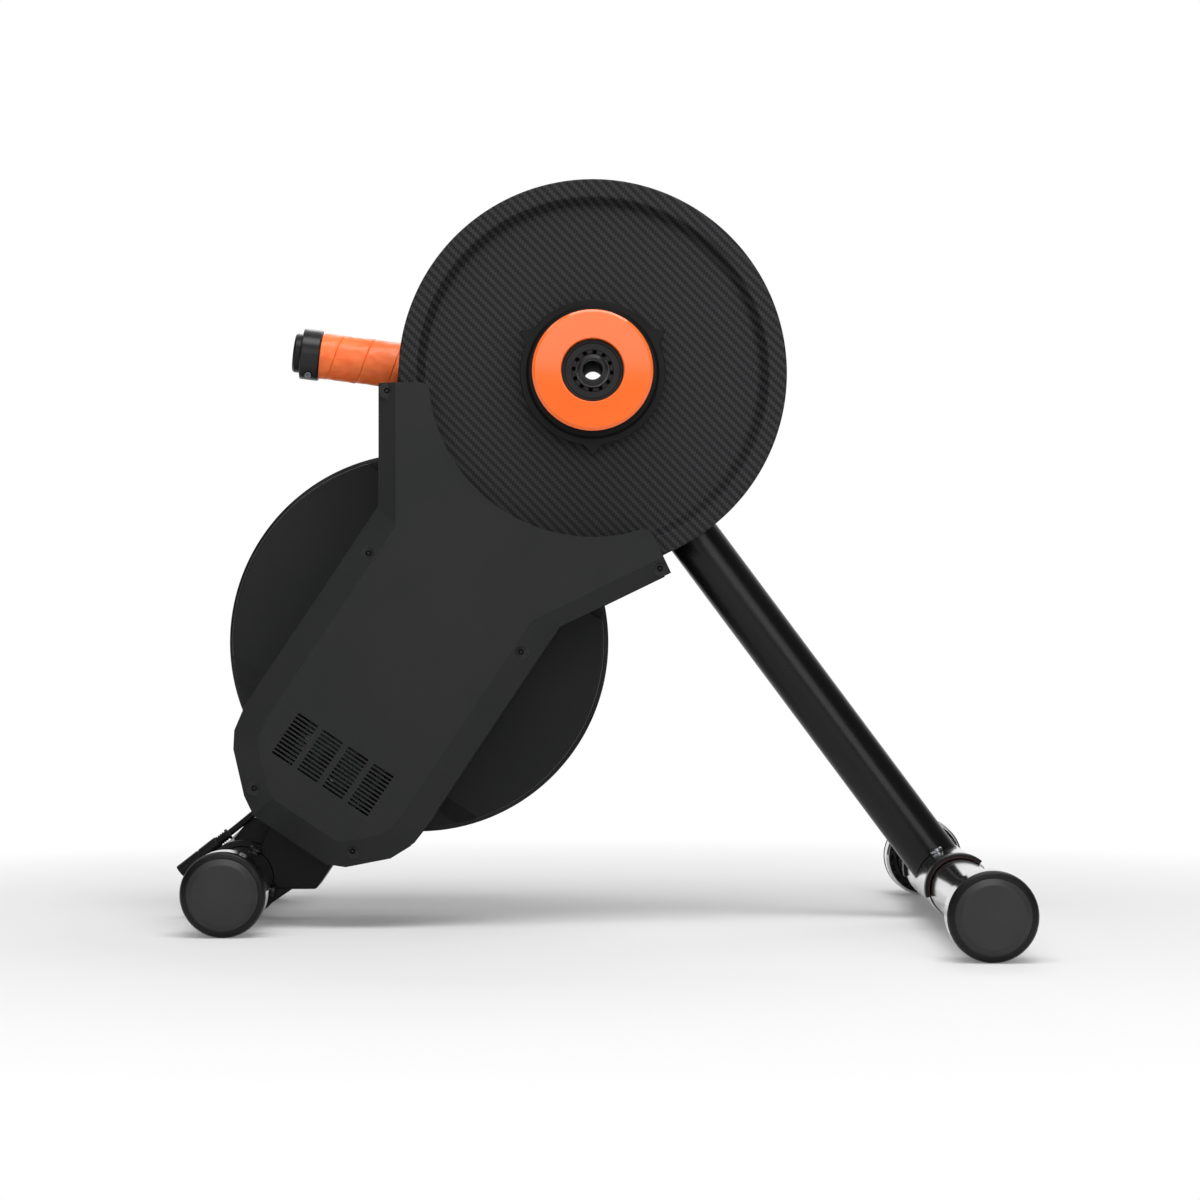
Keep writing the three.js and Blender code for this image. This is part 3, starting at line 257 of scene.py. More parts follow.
# One piece from several; each face keeps its finish unless one is given for all
def merged(name, pieces, material=None):
    mesh = bpy.data.meshes.new(name)
    bm = bmesh.new()
    finishes = [material] if material else []
    for piece in pieces:
        start = len(bm.faces)
        bm.from_mesh(piece.data)
        bm.faces.ensure_lookup_table()
        own = list(piece.data.materials)
        finishes += [m for m in own if not material and m not in finishes]
        for face in bm.faces[start:]:
            face.material_index = finishes.index(own[face.material_index]) if own and not material else 0
    bm.to_mesh(mesh)
    bm.free()
    for finish in finishes:
        mesh.materials.append(finish)
    dropped(*pieces)
    whole = bpy.data.objects.new(name, mesh)
    scene.collection.objects.link(whole)
    return whole


# A piece rides on its body and takes the place of its nodes
def finished(piece, body, nodes):
    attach(piece, body)
    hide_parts(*nodes)
    return piece


# Materials: each reads Object coordinates, and its pattern sizes are real millimetres
def startMaterial(name):
    material = bpy.data.materials.new(name)
    material.use_nodes = True
    tree = material.node_tree
    tree.nodes.clear()
    place = put(tree, "ShaderNodeTexCoord").outputs["Object"]
    return material, tree, place


def closeMaterial(material, surface):
    shader = put(material.node_tree, "ShaderNodeBsdfPrincipled", surface)
    put(material.node_tree, "ShaderNodeOutputMaterial", {"Surface": shader.outputs["BSDF"]})
    return material


# Two close tones of one colour, mixed by slow noise, as any moulded or painted surface shows
def toned(tree, place, look):
    patches = put(tree, "ShaderNodeTexNoise", {
        "Vector": place, "Scale": 1000 / look["patchMm"], "Detail": 3.0})
    spread = put(tree, "ShaderNodeMapRange", {
        "Value": patches.outputs["Fac"], "From Min": 0.35, "From Max": 0.65})
    tones = {0: spread.outputs["Result"], 6: linear(look["low"]), 7: linear(look["high"])}
    return put(tree, "ShaderNodeMix", tones, data_type="RGBA").outputs[2]


# Roughness that wanders a little either side of its value
def roughened(tree, noise, look):
    low, high = look["rough"] - look["wander"], look["rough"] + look["wander"]
    return put(tree, "ShaderNodeMapRange", {
        "Value": noise.outputs["Fac"], "From Min": 0.3, "From Max": 0.7, "To Min": low,
        "To Max": high}).outputs["Result"]


# Coats and mouldings: one tone, a grain that softens the light, and roughness that wanders a little
def grainedCoat(name, look):
    material, tree, place = startMaterial(name)
    colour = toned(tree, place, look)
    grain = put(tree, "ShaderNodeTexNoise", {
        "Vector": place, "Scale": 1000 / look["grainMm"], "Detail": 2.0, "Roughness": 0.6})
    bump = put(tree, "ShaderNodeBump", {
        "Height": grain.outputs["Fac"], "Strength": look["bump"], "Distance": look["grainMm"] * mm * 0.3})
    wander = put(tree, "ShaderNodeTexNoise", {
        "Vector": place, "Scale": 1000 / (4 * look["patchMm"]), "Detail": 4.0})
    return closeMaterial(material, {
        "Base Color": colour, "Roughness": roughened(tree, wander, look), "Normal": bump.outputs["Normal"],
        "IOR": 1.5, "Specular IOR Level": look.get("specular", 0.5), "Coat Weight": look.get("coat", 0.0),
        "Coat Roughness": look.get("coatRough", 0.05)})


# Metal worked in a lathe or on a buffing wheel: fine lines run round the axis of the piece
def turnedMetal(name, look):
    material, tree, place = startMaterial(name)
    stretched = put(tree, "ShaderNodeMapping", {"Vector": place, "Scale": look["stretch"]})
    lines = put(tree, "ShaderNodeTexNoise", {
        "Vector": stretched.outputs["Vector"], "Scale": 1000 / look["lineMm"], "Detail": 4.0,
        "Roughness": 0.7})
    colour = toned(tree, place, look)
    bump = put(tree, "ShaderNodeBump", {
        "Height": lines.outputs["Fac"], "Strength": look["bump"], "Distance": 0.05 * mm})
    return closeMaterial(material, {
        "Base Color": colour, "Roughness": roughened(tree, lines, look), "Normal": bump.outputs["Normal"],
        "Metallic": 1.0})


# Twill composite: tows pass over two and under two, which gives diagonal stripes down to the front
def twillComposite(name, look):
    material, tree, place = startMaterial(name)
    cells = put(tree, "ShaderNodeVectorMath", {0: place, "Scale": 1000 / look["towMm"]}, operation="SCALE")
    axes = put(tree, "ShaderNodeSeparateXYZ", {"Vector": cells.outputs["Vector"]})
    floors = [put(tree, "ShaderNodeMath", {0: axes.outputs[axis]}, operation="FLOOR") for axis in ("X", "Z")]
    parts = [put(tree, "ShaderNodeMath", {0: axes.outputs[axis]}, operation="FRACT") for axis in ("X", "Z")]
    total = put(tree, "ShaderNodeMath", {0: floors[0].outputs[0], 1: floors[1].outputs[0]}, operation="ADD")
    phase = put(tree, "ShaderNodeMath", {0: total.outputs[0], 1: 4.0}, operation="FLOORED_MODULO")
    warpOnTop = put(tree, "ShaderNodeMath", {0: phase.outputs[0], 1: 1.5}, operation="LESS_THAN")
    crowns = []
    for part in parts:  # a tow is thick in the middle and thin at its edges
        centred = put(tree, "ShaderNodeMath", {0: part.outputs[0], 1: 0.5}, operation="SUBTRACT")
        squared = put(tree, "ShaderNodeMath", {
            0: centred.outputs[0], 1: centred.outputs[0]}, operation="MULTIPLY")
        crowns.append(put(tree, "ShaderNodeMath", {
            0: squared.outputs[0], 1: -4.0, 2: 1.0}, operation="MULTIPLY_ADD"))
    crown = put(tree, "ShaderNodeMix", {
        0: warpOnTop.outputs[0], 2: crowns[1].outputs[0], 3: crowns[0].outputs[0]}, data_type="FLOAT")
    fibres = put(tree, "ShaderNodeTexNoise", {
        "Vector": place, "Scale": 1000 / look["fibreMm"], "Detail": 2.0})
    # Painted sheen: the warp on top takes a lighter tone than the weft
    tone = put(tree, "ShaderNodeMix", {
        0: warpOnTop.outputs[0], 6: linear(look["weft"]), 7: linear(look["warp"])}, data_type="RGBA")
    # Painted shade: each tow's colour darkens towards its edges, as the shading across a rounded tow
    edgeShade = put(tree, "ShaderNodeMapRange", {
        "Value": crown.outputs[0], "From Min": 0.0, "From Max": 1.0, "To Min": look["edge"], "To Max": 1.0})
    mottle = put(tree, "ShaderNodeMapRange", {
        "Value": fibres.outputs["Fac"], "From Min": 0.3, "From Max": 0.7, "To Min": 0.85, "To Max": 1.15})
    level = put(tree, "ShaderNodeMath", {
        0: edgeShade.outputs["Result"], 1: mottle.outputs["Result"]}, operation="MULTIPLY")
    colour = put(tree, "ShaderNodeVectorMath", {
        0: tone.outputs[2], "Scale": level.outputs[0]}, operation="SCALE")
    bump = put(tree, "ShaderNodeBump", {
        "Height": crown.outputs[0], "Strength": look["bump"], "Distance": look["towMm"] * mm * 0.08})
    return closeMaterial(material, {
        "Base Color": colour.outputs["Vector"], "Normal": bump.outputs["Normal"],
        "Roughness": look["rough"], "Specular IOR Level": look["specular"]})


# Grip tape: soft polyurethane film over foam, with slow lumps and shallow flats pressed in by the winding
def gripTape(name, look):
    material, tree, place = startMaterial(name)
    colour = toned(tree, place, look)
    lumps = put(tree, "ShaderNodeTexVoronoi", {
        "Vector": place, "Scale": 1000 / look["lumpMm"], "Smoothness": 0.6}, feature="SMOOTH_F1")
    grain = put(tree, "ShaderNodeTexNoise", {"Vector": place, "Scale": 1000 / look["grainMm"], "Detail": 3.0})
    mixed = put(tree, "ShaderNodeMath", {
        0: grain.outputs["Fac"], 1: 0.15, 2: lumps.outputs["Distance"]}, operation="MULTIPLY_ADD")
    bump = put(tree, "ShaderNodeBump", {
        "Height": mixed.outputs[0], "Strength": look["bump"], "Distance": 0.6 * mm})
    return closeMaterial(material, {
        "Base Color": colour, "Normal": bump.outputs["Normal"], "Roughness": look["rough"],
        "Specular IOR Level": look["specular"]})


# Moulded ABS, textured by spark erosion: a dull even black, a little grey where the light rakes it
coverAbs = grainedCoat("sparkTexturedAbs", {
    "low": "#262727", "high": "#2a2a2b", "patchMm": 60, "grainMm": 0.5, "bump": 0.2,
    "rough": 0.42, "wander": 0.03, "specular": 0.13})
# The shroud's ABS is moulded smoother, so its broad sheen is tighter
shroudAbs = grainedCoat("shroudAbs", {
    "low": "#232424", "high": "#272728", "patchMm": 70, "grainMm": 0.5, "bump": 0.15,
    "rough": 0.34, "wander": 0.03, "specular": 0.12})
# Gloss enamel on steel: deep black with a faint orange peel, about 3 mm across
strutEnamel = grainedCoat("glossEnamel", {
    "low": "#070707", "high": "#0a0a0a", "patchMm": 80, "grainMm": 3.0, "bump": 0.05,
    "rough": 0.27, "wander": 0.03, "specular": 0.28})
# Powder coat on the cast frame: satin, with the coat's own fine texture
framePowder = grainedCoat("satinPowderCoat", {
    "low": "#151516", "high": "#1a1a1b", "patchMm": 50, "grainMm": 0.7, "bump": 0.3,
    "rough": 0.4, "wander": 0.04, "specular": 0.2})
# Moulded nylon: black, with a soft low sheen
guardNylon = grainedCoat("blackNylon", {
    "low": "#101010", "high": "#151515", "patchMm": 30, "grainMm": 0.4, "bump": 0.15,
    "rough": 0.38, "wander": 0.03, "specular": 0.16})
# Moulded rubber: the darkest piece of the feet, with a narrow light along its rounded rim; on the caps its
# dark tone is painted shade round the rim
capRubber = grainedCoat("mouldedRubber", {
    "low": "#0e0e0e", "high": "#131313", "patchMm": 25, "grainMm": 0.5, "bump": 0.2,
    "rough": 0.36, "wander": 0.04, "specular": 0.22})
# The cap's face plate: a greyer tone than the cup round it, so that the cup's rim reads as painted shade
capPlate = grainedCoat("capFacePlate", {
    "low": "#303031", "high": "#353536", "patchMm": 30, "grainMm": 0.4, "bump": 0.12,
    "rough": 0.42, "wander": 0.03, "specular": 0.2})
# Extruded and moulded PVC: matt black, a soft light on its round side
leadPvc = grainedCoat("leadPvc", {
    "low": "#121212", "high": "#171717", "patchMm": 20, "grainMm": 0.4, "bump": 0.12,
    "rough": 0.4, "wander": 0.03, "specular": 0.2})
# Belt rubber, ground on its ribs: dusty black with no highlight
beltRubber = grainedCoat("ribbedBeltRubber", {
    "low": "#0f0f0f", "high": "#151515", "patchMm": 12, "grainMm": 0.4, "bump": 0.4,
    "rough": 0.75, "wander": 0.05, "specular": 0.15})
# Orange ABS out of a polished mould: a clear gloss that mirrors the lamp over a flat strong colour
guardAbs = grainedCoat("orangeAbs", {
    "low": "#f96c24", "high": "#fd7028", "patchMm": 40, "grainMm": 0.8, "bump": 0.02,
    "rough": 0.3, "wander": 0.02, "specular": 0.1, "coat": 1.0, "coatRough": 0.05})
# Black anodised aluminium, turned and blasted: satin, its edges catch a thin light
ringAnodised = grainedCoat("blackAnodised", {
    "low": "#161617", "high": "#1c1c1d", "patchMm": 10, "grainMm": 0.3, "bump": 0.1,
    "rough": 0.3, "wander": 0.03, "specular": 0.3})
# Painted shade for what lies deep in a bore or a notch: a near black that gives almost nothing back
paintedShadeBlack = grainedCoat("paintedBoreShade", {
    "low": "#040404", "high": "#070707", "patchMm": 5, "grainMm": 0.4, "bump": 0.1,
    "rough": 0.7, "wander": 0.05, "specular": 0.02})
# Black oxide on a screw: nearly black, with small bright points on the head's edge
screwOxide = grainedCoat("blackOxideScrew", {
    "low": "#1a1a1a", "high": "#262626", "patchMm": 3, "grainMm": 0.3, "bump": 0.1,
    "rough": 0.3, "wander": 0.05, "specular": 0.5})
# Solder mask on glass epoxy: a green lacquer with a slight weave under it
boardLacquer = grainedCoat("boardLacquer", {
    "low": "#17452e", "high": "#1f5a3c", "patchMm": 6, "grainMm": 0.6, "bump": 0.1,
    "rough": 0.35, "wander": 0.03})
# Enamelled copper wire: brown orange, glossy on each turn
coilWire = grainedCoat("enamelledWire", {
    "low": "#8a4a22", "high": "#a85d2e", "patchMm": 4, "grainMm": 0.6, "bump": 0.5,
    "rough": 0.35, "wander": 0.05})
# Red-brown sheet rubber in the collars: a dull line between black and chrome
linerRubber = grainedCoat("redLiner", {
    "low": "#32160d", "high": "#3e1c11", "patchMm": 10, "grainMm": 0.4, "bump": 0.1,
    "rough": 0.5, "wander": 0.04, "specular": 0.3})
# Carbon twill under matt lacquer: grey diagonal stripes on black, one tow wide; the warp's lighter tone is
# painted sheen and the darker tow edges are painted shade
weave = twillComposite("twillComposite", {
    "towMm": 1.52, "fibreMm": 0.4, "warp": "#343436", "weft": "#1c1c1d", "edge": 0.6,
    "bump": 0.3, "rough": 0.4, "specular": 0.14})
# Foam grip tape with a polyurethane skin: bright orange, softly lumpy, a little tacky in its sheen
tapeFoam = gripTape("gripTape", {
    "low": "#fb6c28", "high": "#ff7832", "patchMm": 8, "lumpMm": 6.0, "grainMm": 0.7, "bump": 0.35,
    "rough": 0.4, "specular": 0.5})
# Chrome plate, buffed: a clear mirror, drawn out a little round the tube
tubeChrome = turnedMetal("polishedChrome", {
    "low": "#b6b6b8", "high": "#c2c2c4", "patchMm": 40, "lineMm": 60.0, "stretch": (1, 90, 1),
    "rough": 0.12, "wander": 0.02, "bump": 0.02})
# Turned and ground steel: rings round the axis, drawn 0.5 mm apart so that they show, break the light up
shaftSteel = turnedMetal("turnedSteel", {
    "low": "#8d8f92", "high": "#a2a4a7", "patchMm": 12, "lineMm": 40.0, "stretch": (1, 80, 1),
    "rough": 0.28, "wander": 0.08, "bump": 0.15})
# Cast iron, turned and blackened: dark grey with a broad sheen
wheelIron = turnedMetal("blackenedIron", {
    "low": "#2b2b2d", "high": "#353537", "patchMm": 30, "lineMm": 50.0, "stretch": (1, 60, 1),
    "rough": 0.36, "wander": 0.06, "bump": 0.1})
# Stacked steel sheets of 0.5 mm: fine lines across the core
coreSteel = turnedMetal("laminatedSteel", {
    "low": "#5c5e61", "high": "#74767a", "patchMm": 10, "lineMm": 30.0, "stretch": (1, 60, 1), "rough": 0.4,
    "wander": 0.08, "bump": 0.3})
print("materials ready")


# Geometry node trees for what repeats
def newTree(name, sockets):
    tree = bpy.data.node_groups.new(name, "GeometryNodeTree")
    tree.interface.new_socket("Geometry", in_out="INPUT", socket_type="NodeSocketGeometry")
    for label, kind in sockets:
        tree.interface.new_socket(label, in_out="INPUT", socket_type="NodeSocket" + kind)
    tree.interface.new_socket("Geometry", in_out="OUTPUT", socket_type="NodeSocketGeometry")
    return tree, put(tree, "NodeGroupInput"), put(tree, "NodeGroupOutput")


# The end of each tree: real meshes in one material
def closeTree(tree, geometrySocket, source, sink):
    real = put(tree, "GeometryNodeRealizeInstances", {"Geometry": geometrySocket})
    painted = put(tree, "GeometryNodeSetMaterial", {
        "Geometry": real.outputs[0], "Material": source.outputs["Finish"]})
    tree.links.new(painted.outputs[0], sink.inputs[0])
    return tree


# Copies of a shape, turned round an axis along Y
def copiesRoundAxis():
    tree, source, sink = newTree("copiesRoundAxis", [
        ("Shape", "Object"), ("Count", "Int"), ("Start", "Float"), ("Centre", "Vector"),
        ("Finish", "Material")])
    dots = put(tree, "GeometryNodePoints", {"Count": source.outputs["Count"]})
    shape = put(tree, "GeometryNodeObjectInfo", {"Object": source.outputs["Shape"]})
    index = put(tree, "GeometryNodeInputIndex")
    share = put(tree, "ShaderNodeMath", {0: index.outputs[0], 1: source.outputs["Count"]}, operation="DIVIDE")
    turn = put(tree, "ShaderNodeMath", {
        0: share.outputs[0], 1: 2 * math.pi, 2: source.outputs["Start"]}, operation="MULTIPLY_ADD")
    angles = put(tree, "ShaderNodeCombineXYZ", {"Y": turn.outputs[0]})
    copies = put(tree, "GeometryNodeInstanceOnPoints", {
        "Points": dots.outputs[0], "Instance": shape.outputs["Geometry"], "Rotation": angles.outputs[0]})
    moved = put(tree, "GeometryNodeTransform", {
        "Geometry": copies.outputs[0], "Translation": source.outputs["Centre"]})
    return closeTree(tree, moved.outputs[0], source, sink)


# Copies of a shape at the points of a mesh
def copiesAtPoints():
    tree, source, sink = newTree("copiesAtPoints", [("Shape", "Object"), ("Finish", "Material")])
    shape = put(tree, "GeometryNodeObjectInfo", {"Object": source.outputs["Shape"]})
    copies = put(tree, "GeometryNodeInstanceOnPoints", {
        "Points": source.outputs["Geometry"], "Instance": shape.outputs["Geometry"]})
    return closeTree(tree, copies.outputs[0], source, sink)


# Rows and columns of a shape on a plane square to Y
def copiesInRows():
    tree, source, sink = newTree("copiesInRows", [
        ("Shape", "Object"), ("Rows", "Int"), ("Columns", "Int"), ("Long", "Float"), ("Wide", "Float"),
        ("Turn", "Float"), ("Centre", "Vector"), ("Finish", "Material")])
    grid = put(tree, "GeometryNodeMeshGrid", {
        "Size X": source.outputs["Long"], "Size Y": source.outputs["Wide"],
        "Vertices X": source.outputs["Rows"], "Vertices Y": source.outputs["Columns"]})
    stood = put(tree, "GeometryNodeTransform", {
        "Geometry": grid.outputs["Mesh"], "Rotation": (math.pi / 2, 0, 0)})
    shape = put(tree, "GeometryNodeObjectInfo", {"Object": source.outputs["Shape"]})
    copies = put(tree, "GeometryNodeInstanceOnPoints", {
        "Points": stood.outputs[0], "Instance": shape.outputs["Geometry"]})
    angles = put(tree, "ShaderNodeCombineXYZ", {"Y": source.outputs["Turn"]})
    moved = put(tree, "GeometryNodeTransform", {
        "Geometry": copies.outputs[0], "Translation": source.outputs["Centre"],
        "Rotation": angles.outputs[0]})
    return closeTree(tree, moved.outputs[0], source, sink)


# Tape wound round a bar along Y: each turn rides up on the last, so the surface steps along a helix
def woundTape():
    tree, source, sink = newTree("woundTape", [
        ("Radius", "Float"), ("Start", "Float"), ("End", "Float"), ("Pitch", "Float"), ("Step", "Float"),
        ("Phase", "Float"), ("Bulge", "Float"), ("Finish", "Material")])
    root = put(tree, "ShaderNodeCombineXYZ", {"Y": source.outputs["Start"]})
    tip = put(tree, "ShaderNodeCombineXYZ", {"Y": source.outputs["End"]})
    line = put(tree, "GeometryNodeCurvePrimitiveLine", {"Start": root.outputs[0], "End": tip.outputs[0]})
    fine = put(tree, "GeometryNodeResampleCurve", {"Curve": line.outputs[0], "Count": 380})
    section = put(tree, "GeometryNodeCurvePrimitiveCircle", {
        "Resolution": 120, "Radius": source.outputs["Radius"]})
    tube = put(tree, "GeometryNodeCurveToMesh", {
        "Curve": fine.outputs[0], "Profile Curve": section.outputs[0]})
    spot = put(tree, "ShaderNodeSeparateXYZ", {"Vector": put(tree, "GeometryNodeInputPosition").outputs[0]})
    turn = put(tree, "ShaderNodeMath", {0: spot.outputs["Z"], 1: spot.outputs["X"]}, operation="ARCTAN2")
    turns = put(tree, "ShaderNodeMath", {0: turn.outputs[0], 1: 2 * math.pi}, operation="DIVIDE")
    laps = put(tree, "ShaderNodeMath", {0: spot.outputs["Y"], 1: source.outputs["Pitch"]}, operation="DIVIDE")
    together = put(tree, "ShaderNodeMath", {0: laps.outputs[0], 1: turns.outputs[0]}, operation="SUBTRACT")
    shifted = put(tree, "ShaderNodeMath", {
        0: together.outputs[0], 1: source.outputs["Phase"]}, operation="ADD")
    share = put(tree, "ShaderNodeMath", {0: shifted.outputs[0]}, operation="FRACT")
    edge = put(tree, "ShaderNodeMapRange", {
        "Value": share.outputs[0], "From Min": 0.0, "From Max": 0.04, "To Min": -1.3, "To Max": 0.0})
    ramp = put(tree, "ShaderNodeMath", {
        0: share.outputs[0], 1: -0.55, 2: edge.outputs["Result"]}, operation="MULTIPLY_ADD")
    lumps = put(tree, "ShaderNodeTexNoise", {"Scale": 160.0, "Detail": 1.0})
    rough = put(tree, "ShaderNodeMath", {0: lumps.outputs["Fac"], 1: 0.5}, operation="SUBTRACT")
    low = put(tree, "ShaderNodeMath", {0: rough.outputs[0], 1: source.outputs["Bulge"]}, operation="MULTIPLY")
    lift = put(tree, "ShaderNodeMath", {
        0: ramp.outputs[0], 1: source.outputs["Step"], 2: low.outputs[0]}, operation="MULTIPLY_ADD")
    outwards = put(tree, "ShaderNodeCombineXYZ", {"X": spot.outputs["X"], "Z": spot.outputs["Z"]})
    way = put(tree, "ShaderNodeVectorMath", {0: outwards.outputs[0]}, operation="NORMALIZE")
    offset = put(tree, "ShaderNodeVectorMath", {
        0: way.outputs["Vector"], "Scale": lift.outputs[0]}, operation="SCALE")
    shaped = put(tree, "GeometryNodeSetPosition", {
        "Geometry": tube.outputs[0], "Offset": offset.outputs["Vector"]})
    smooth = put(tree, "GeometryNodeSetShadeSmooth", {"Geometry": shaped.outputs[0]})
    return closeTree(tree, smooth.outputs[0], source, sink)


trees = {make.__name__: make() for make in (copiesRoundAxis, copiesAtPoints, copiesInRows, woundTape)}


# Runs a tree and returns its result as a plain mesh
def grown(name, treeName, inputs, base=None):
    piece = base or pieceFrom(name, [(0, 0, 0)], [])
    piece.name = name
    tree = trees[treeName]
    change = piece.modifiers.new("grown", "NODES")
    change.node_group = tree
    for item in tree.interface.items_tree:
        if item.item_type == "SOCKET" and item.in_out == "INPUT" and item.name in inputs:
            change[item.identifier] = inputs[item.name]
    settled(piece)
    if inputs.get("Shape"):
        dropped(inputs["Shape"])
    piece.data.name = name
    return piece


print("trees ready")

# Power lead: gland on the tray, the free stretch on the route that the frame has, and an inline connector
lead = {
    "radius": 2.1, "tilt": 38.0, "seat": (-211.16, 36.0, 71.4), "sleeve": 3.1, "sleeveFrom": -8.0,
    "seatAt": 2.8, "collar": 5.6, "collarThick": 0.6, "nose": 4.4, "exit": 6.0, "relief": 9.0,
    "reliefStart": 3.7, "reliefEnd": 3.2, "ribs": 4, "ribFrom": 2.6, "ribPitch": 1.6, "ribFoot": 2.7,
    "ribTop": 3.3, "body": 3.9, "end": 40.0, "seam": 22.0, "seamDeep": 0.35, "socket": 2.6,
    "socketDeep": 15.5, "pin": 1.0, "pinShort": 6.0, "sides": 40}
leadRoute = [
    (-208.12, 36, 73.81), (-209.73, 36, 72.56), (-211.33, 36, 71.3), (-212.93, 36, 70.05),
    (-214.54, 36, 68.8), (-216.14, 36, 67.55), (-217.74, 36, 66.29), (-219.33, 36, 65.02),
    (-220.91, 36, 63.73), (-222.48, 36, 62.44), (-224.05, 36, 61.15), (-225.62, 36, 59.85),
    (-227.2, 36, 58.57), (-228.78, 36, 57.29), (-230.39, 36, 56.04), (-232.0, 36, 54.8)]
leadWay = Vector((-math.cos(math.radians(lead["tilt"])), 0, -math.sin(math.radians(lead["tilt"]))))


def makeLead():
    k = lead
    bore = k["radius"] + fit
    gland = turned("leadGland", [
        (bore, k["sleeveFrom"], 0.2), (k["sleeve"], k["sleeveFrom"], 0.2), (k["sleeve"], k["seatAt"]),
        (k["collar"], k["seatAt"], 0.4), (k["collar"] - 0.1, k["seatAt"] + k["collarThick"], 0.3),
        (k["nose"], k["exit"], 0.4), (bore, k["exit"], 0.2)], sides=48, material=leadPvc)
    finished(toWay(edged(gland, 0), k["seat"], leadWay), "stand", ["lead_gland"])

    corners = [
        (0, fit), (k["reliefStart"] - 0.2, fit, 0.4), (k["reliefStart"], 1.8, 0.3),
        (k["ribFoot"] + 0.3, 2.1)]
    for i in range(k["ribs"]):  # moulded ribs, so that the relief bends evenly
        y = k["ribFrom"] + i * k["ribPitch"]
        corners += [
            (k["ribFoot"], y), (k["ribFoot"], y + 0.6), (k["ribTop"], y + 0.8), (k["ribTop"], y + 1.3)]
    body, seam, floor = k["body"], k["seam"], k["end"] - k["socketDeep"]
    corners += [
        (k["reliefEnd"], k["relief"]), (body - 0.3, k["relief"] + 0.1, 0.4), (body, k["relief"] + 1.5, 0.5)]
    corners += [  # the seam of the connector's collar
        (body, seam, 0.2), (body - k["seamDeep"], seam + 0.4, 0.1), (body - k["seamDeep"], seam + 1.2, 0.1),
        (body, seam + 1.6, 0.2)]
    corners += [
        (body, k["end"], 0.6), (k["socket"], k["end"], 0.3), (k["socket"], floor), (k["pin"], floor),
        (k["pin"] - 0.1, k["end"] - k["pinShort"], 0.3), (0, k["end"] - k["pinShort"] + 0.2)]
    plug = turned("leadConnector", corners, closed=False, sides=64, material=leadPvc)
    plug = toWay(edged(plug, 0), Vector(leadRoute[-1]), leadWay)
    finished(plug, "stand", ["lead_connector"])

    rings = []
    for i, point in enumerate(leadRoute):
        before, after = Vector(leadRoute[max(i - 1, 0)]), Vector(leadRoute[min(i + 1, len(leadRoute) - 1)])
        way = (after - before).normalized()
        side = Vector((0, 1, 0))
        up = way.cross(side)
        turns = [2 * math.pi * j / k["sides"] for j in range(k["sides"])]
        rings.append([
            Vector(point) + (side * math.cos(turn) + up * math.sin(turn)) * k["radius"] for turn in turns])
    tube = edged(tidied(pieceFrom("powerLead", *loft(rings, True, True), leadPvc)), 0)
    finished(tube, "stand", ["power_lead"])


makeLead()
print("lead ready")

# Places along and across the belt line, as in the frame
layout = {
    "hub": (-1.5, 343.0), "beltAngle": 56.2, "beltCentres": 202.0, "beltSmall": 18.0,
    "rearBar": (-224.0, 26.0), "frontBar": (224.0, 26.0)}
beltTurn = math.radians(layout["beltAngle"])
hub = Vector(layout["hub"])
along = Vector((-math.cos(beltTurn), -math.sin(beltTurn)))
across = Vector((math.sin(beltTurn), -math.cos(beltTurn)))


def onBelt(reach, side):
    return hub + along * reach + across * side


wheelAxis = onBelt(layout["beltCentres"], 0)
rearBar, frontBar = Vector(layout["rearBar"]), Vector(layout["frontBar"])
hubPlace = (hub.x, 0, hub.y)
wheelPlace = (wheelAxis.x, 0, wheelAxis.y)
hubCentre, wheelCentre = [v * mm for v in hubPlace], [v * mm for v in wheelPlace]  # in metres, for the trees

# Large pulley: a dished composite wheel with a flat rim band
pulley = {
    "radius": 120.0, "near": -27.0, "far": -3.0, "bandInner": 110.2, "web": -21.0, "webThick": 5.0,
    "seat": 116.7, "seatNear": -24.4, "seatFar": -5.6, "dishStart": 103.2, "dishBack": 106.0, "hub": 24.0,
    "bore": 15.3, "ribs": 12, "ribFrom": 22.0, "ribTo": 108.0, "ribRoot": -16.5, "ribTall": -4.0,
    "ribLow": -9.0, "ribHalf": 1.6}


def makePulley():
    p = pulley
    near, far, rim = p["near"], p["far"], p["radius"]
    body = turned("drivePulley", [
        (p["bore"], near + 1, 0.4), (p["hub"], near + 1, 1.0), (p["hub"], p["web"], 2.0),
        (p["dishStart"], p["web"], 5.0), (p["bandInner"] - 1.2, near, 2.4), (rim, near, 1.0),
        (rim, p["seatNear"], 0.3), (p["seat"], p["seatNear"]), (p["seat"], p["seatFar"]),
        (rim, p["seatFar"], 0.3), (rim, far, 0.8), (p["bandInner"], far, 0.8),
        (p["dishBack"], p["web"] + p["webThick"] + 0.5, 4.0), (p["hub"], p["web"] + p["webThick"], 1.5),
        (p["hub"], 0, 0.8), (p["bore"], 0, 0.4)], hubPlace, sides=256)
    foot, top = p["ribHalf"], p["ribHalf"] * 0.7  # a rib narrows towards its free edge, for draft
    ends = [
        [(reach, p["ribRoot"], -foot), (reach, p["ribRoot"], foot), (reach, tall, top), (reach, tall, -top)]
        for reach, tall in ((p["ribFrom"], p["ribTall"]), (p["ribTo"], p["ribLow"]))]
    rib = tidied(pieceFrom("rib", *loft(ends, True, True)))
    ribs = grown("pulleyRibs", "copiesRoundAxis", {
        "Shape": rib, "Count": p["ribs"], "Start": 0.0, "Centre": hubCentre, "Finish": weave})
    edged(ribs, 0.6)
    edged(body, 0)
    finished(merged("largePulley", [body, ribs], weave), "pulley", ["drive_pulley"])


makePulley()
print("pulley ready")

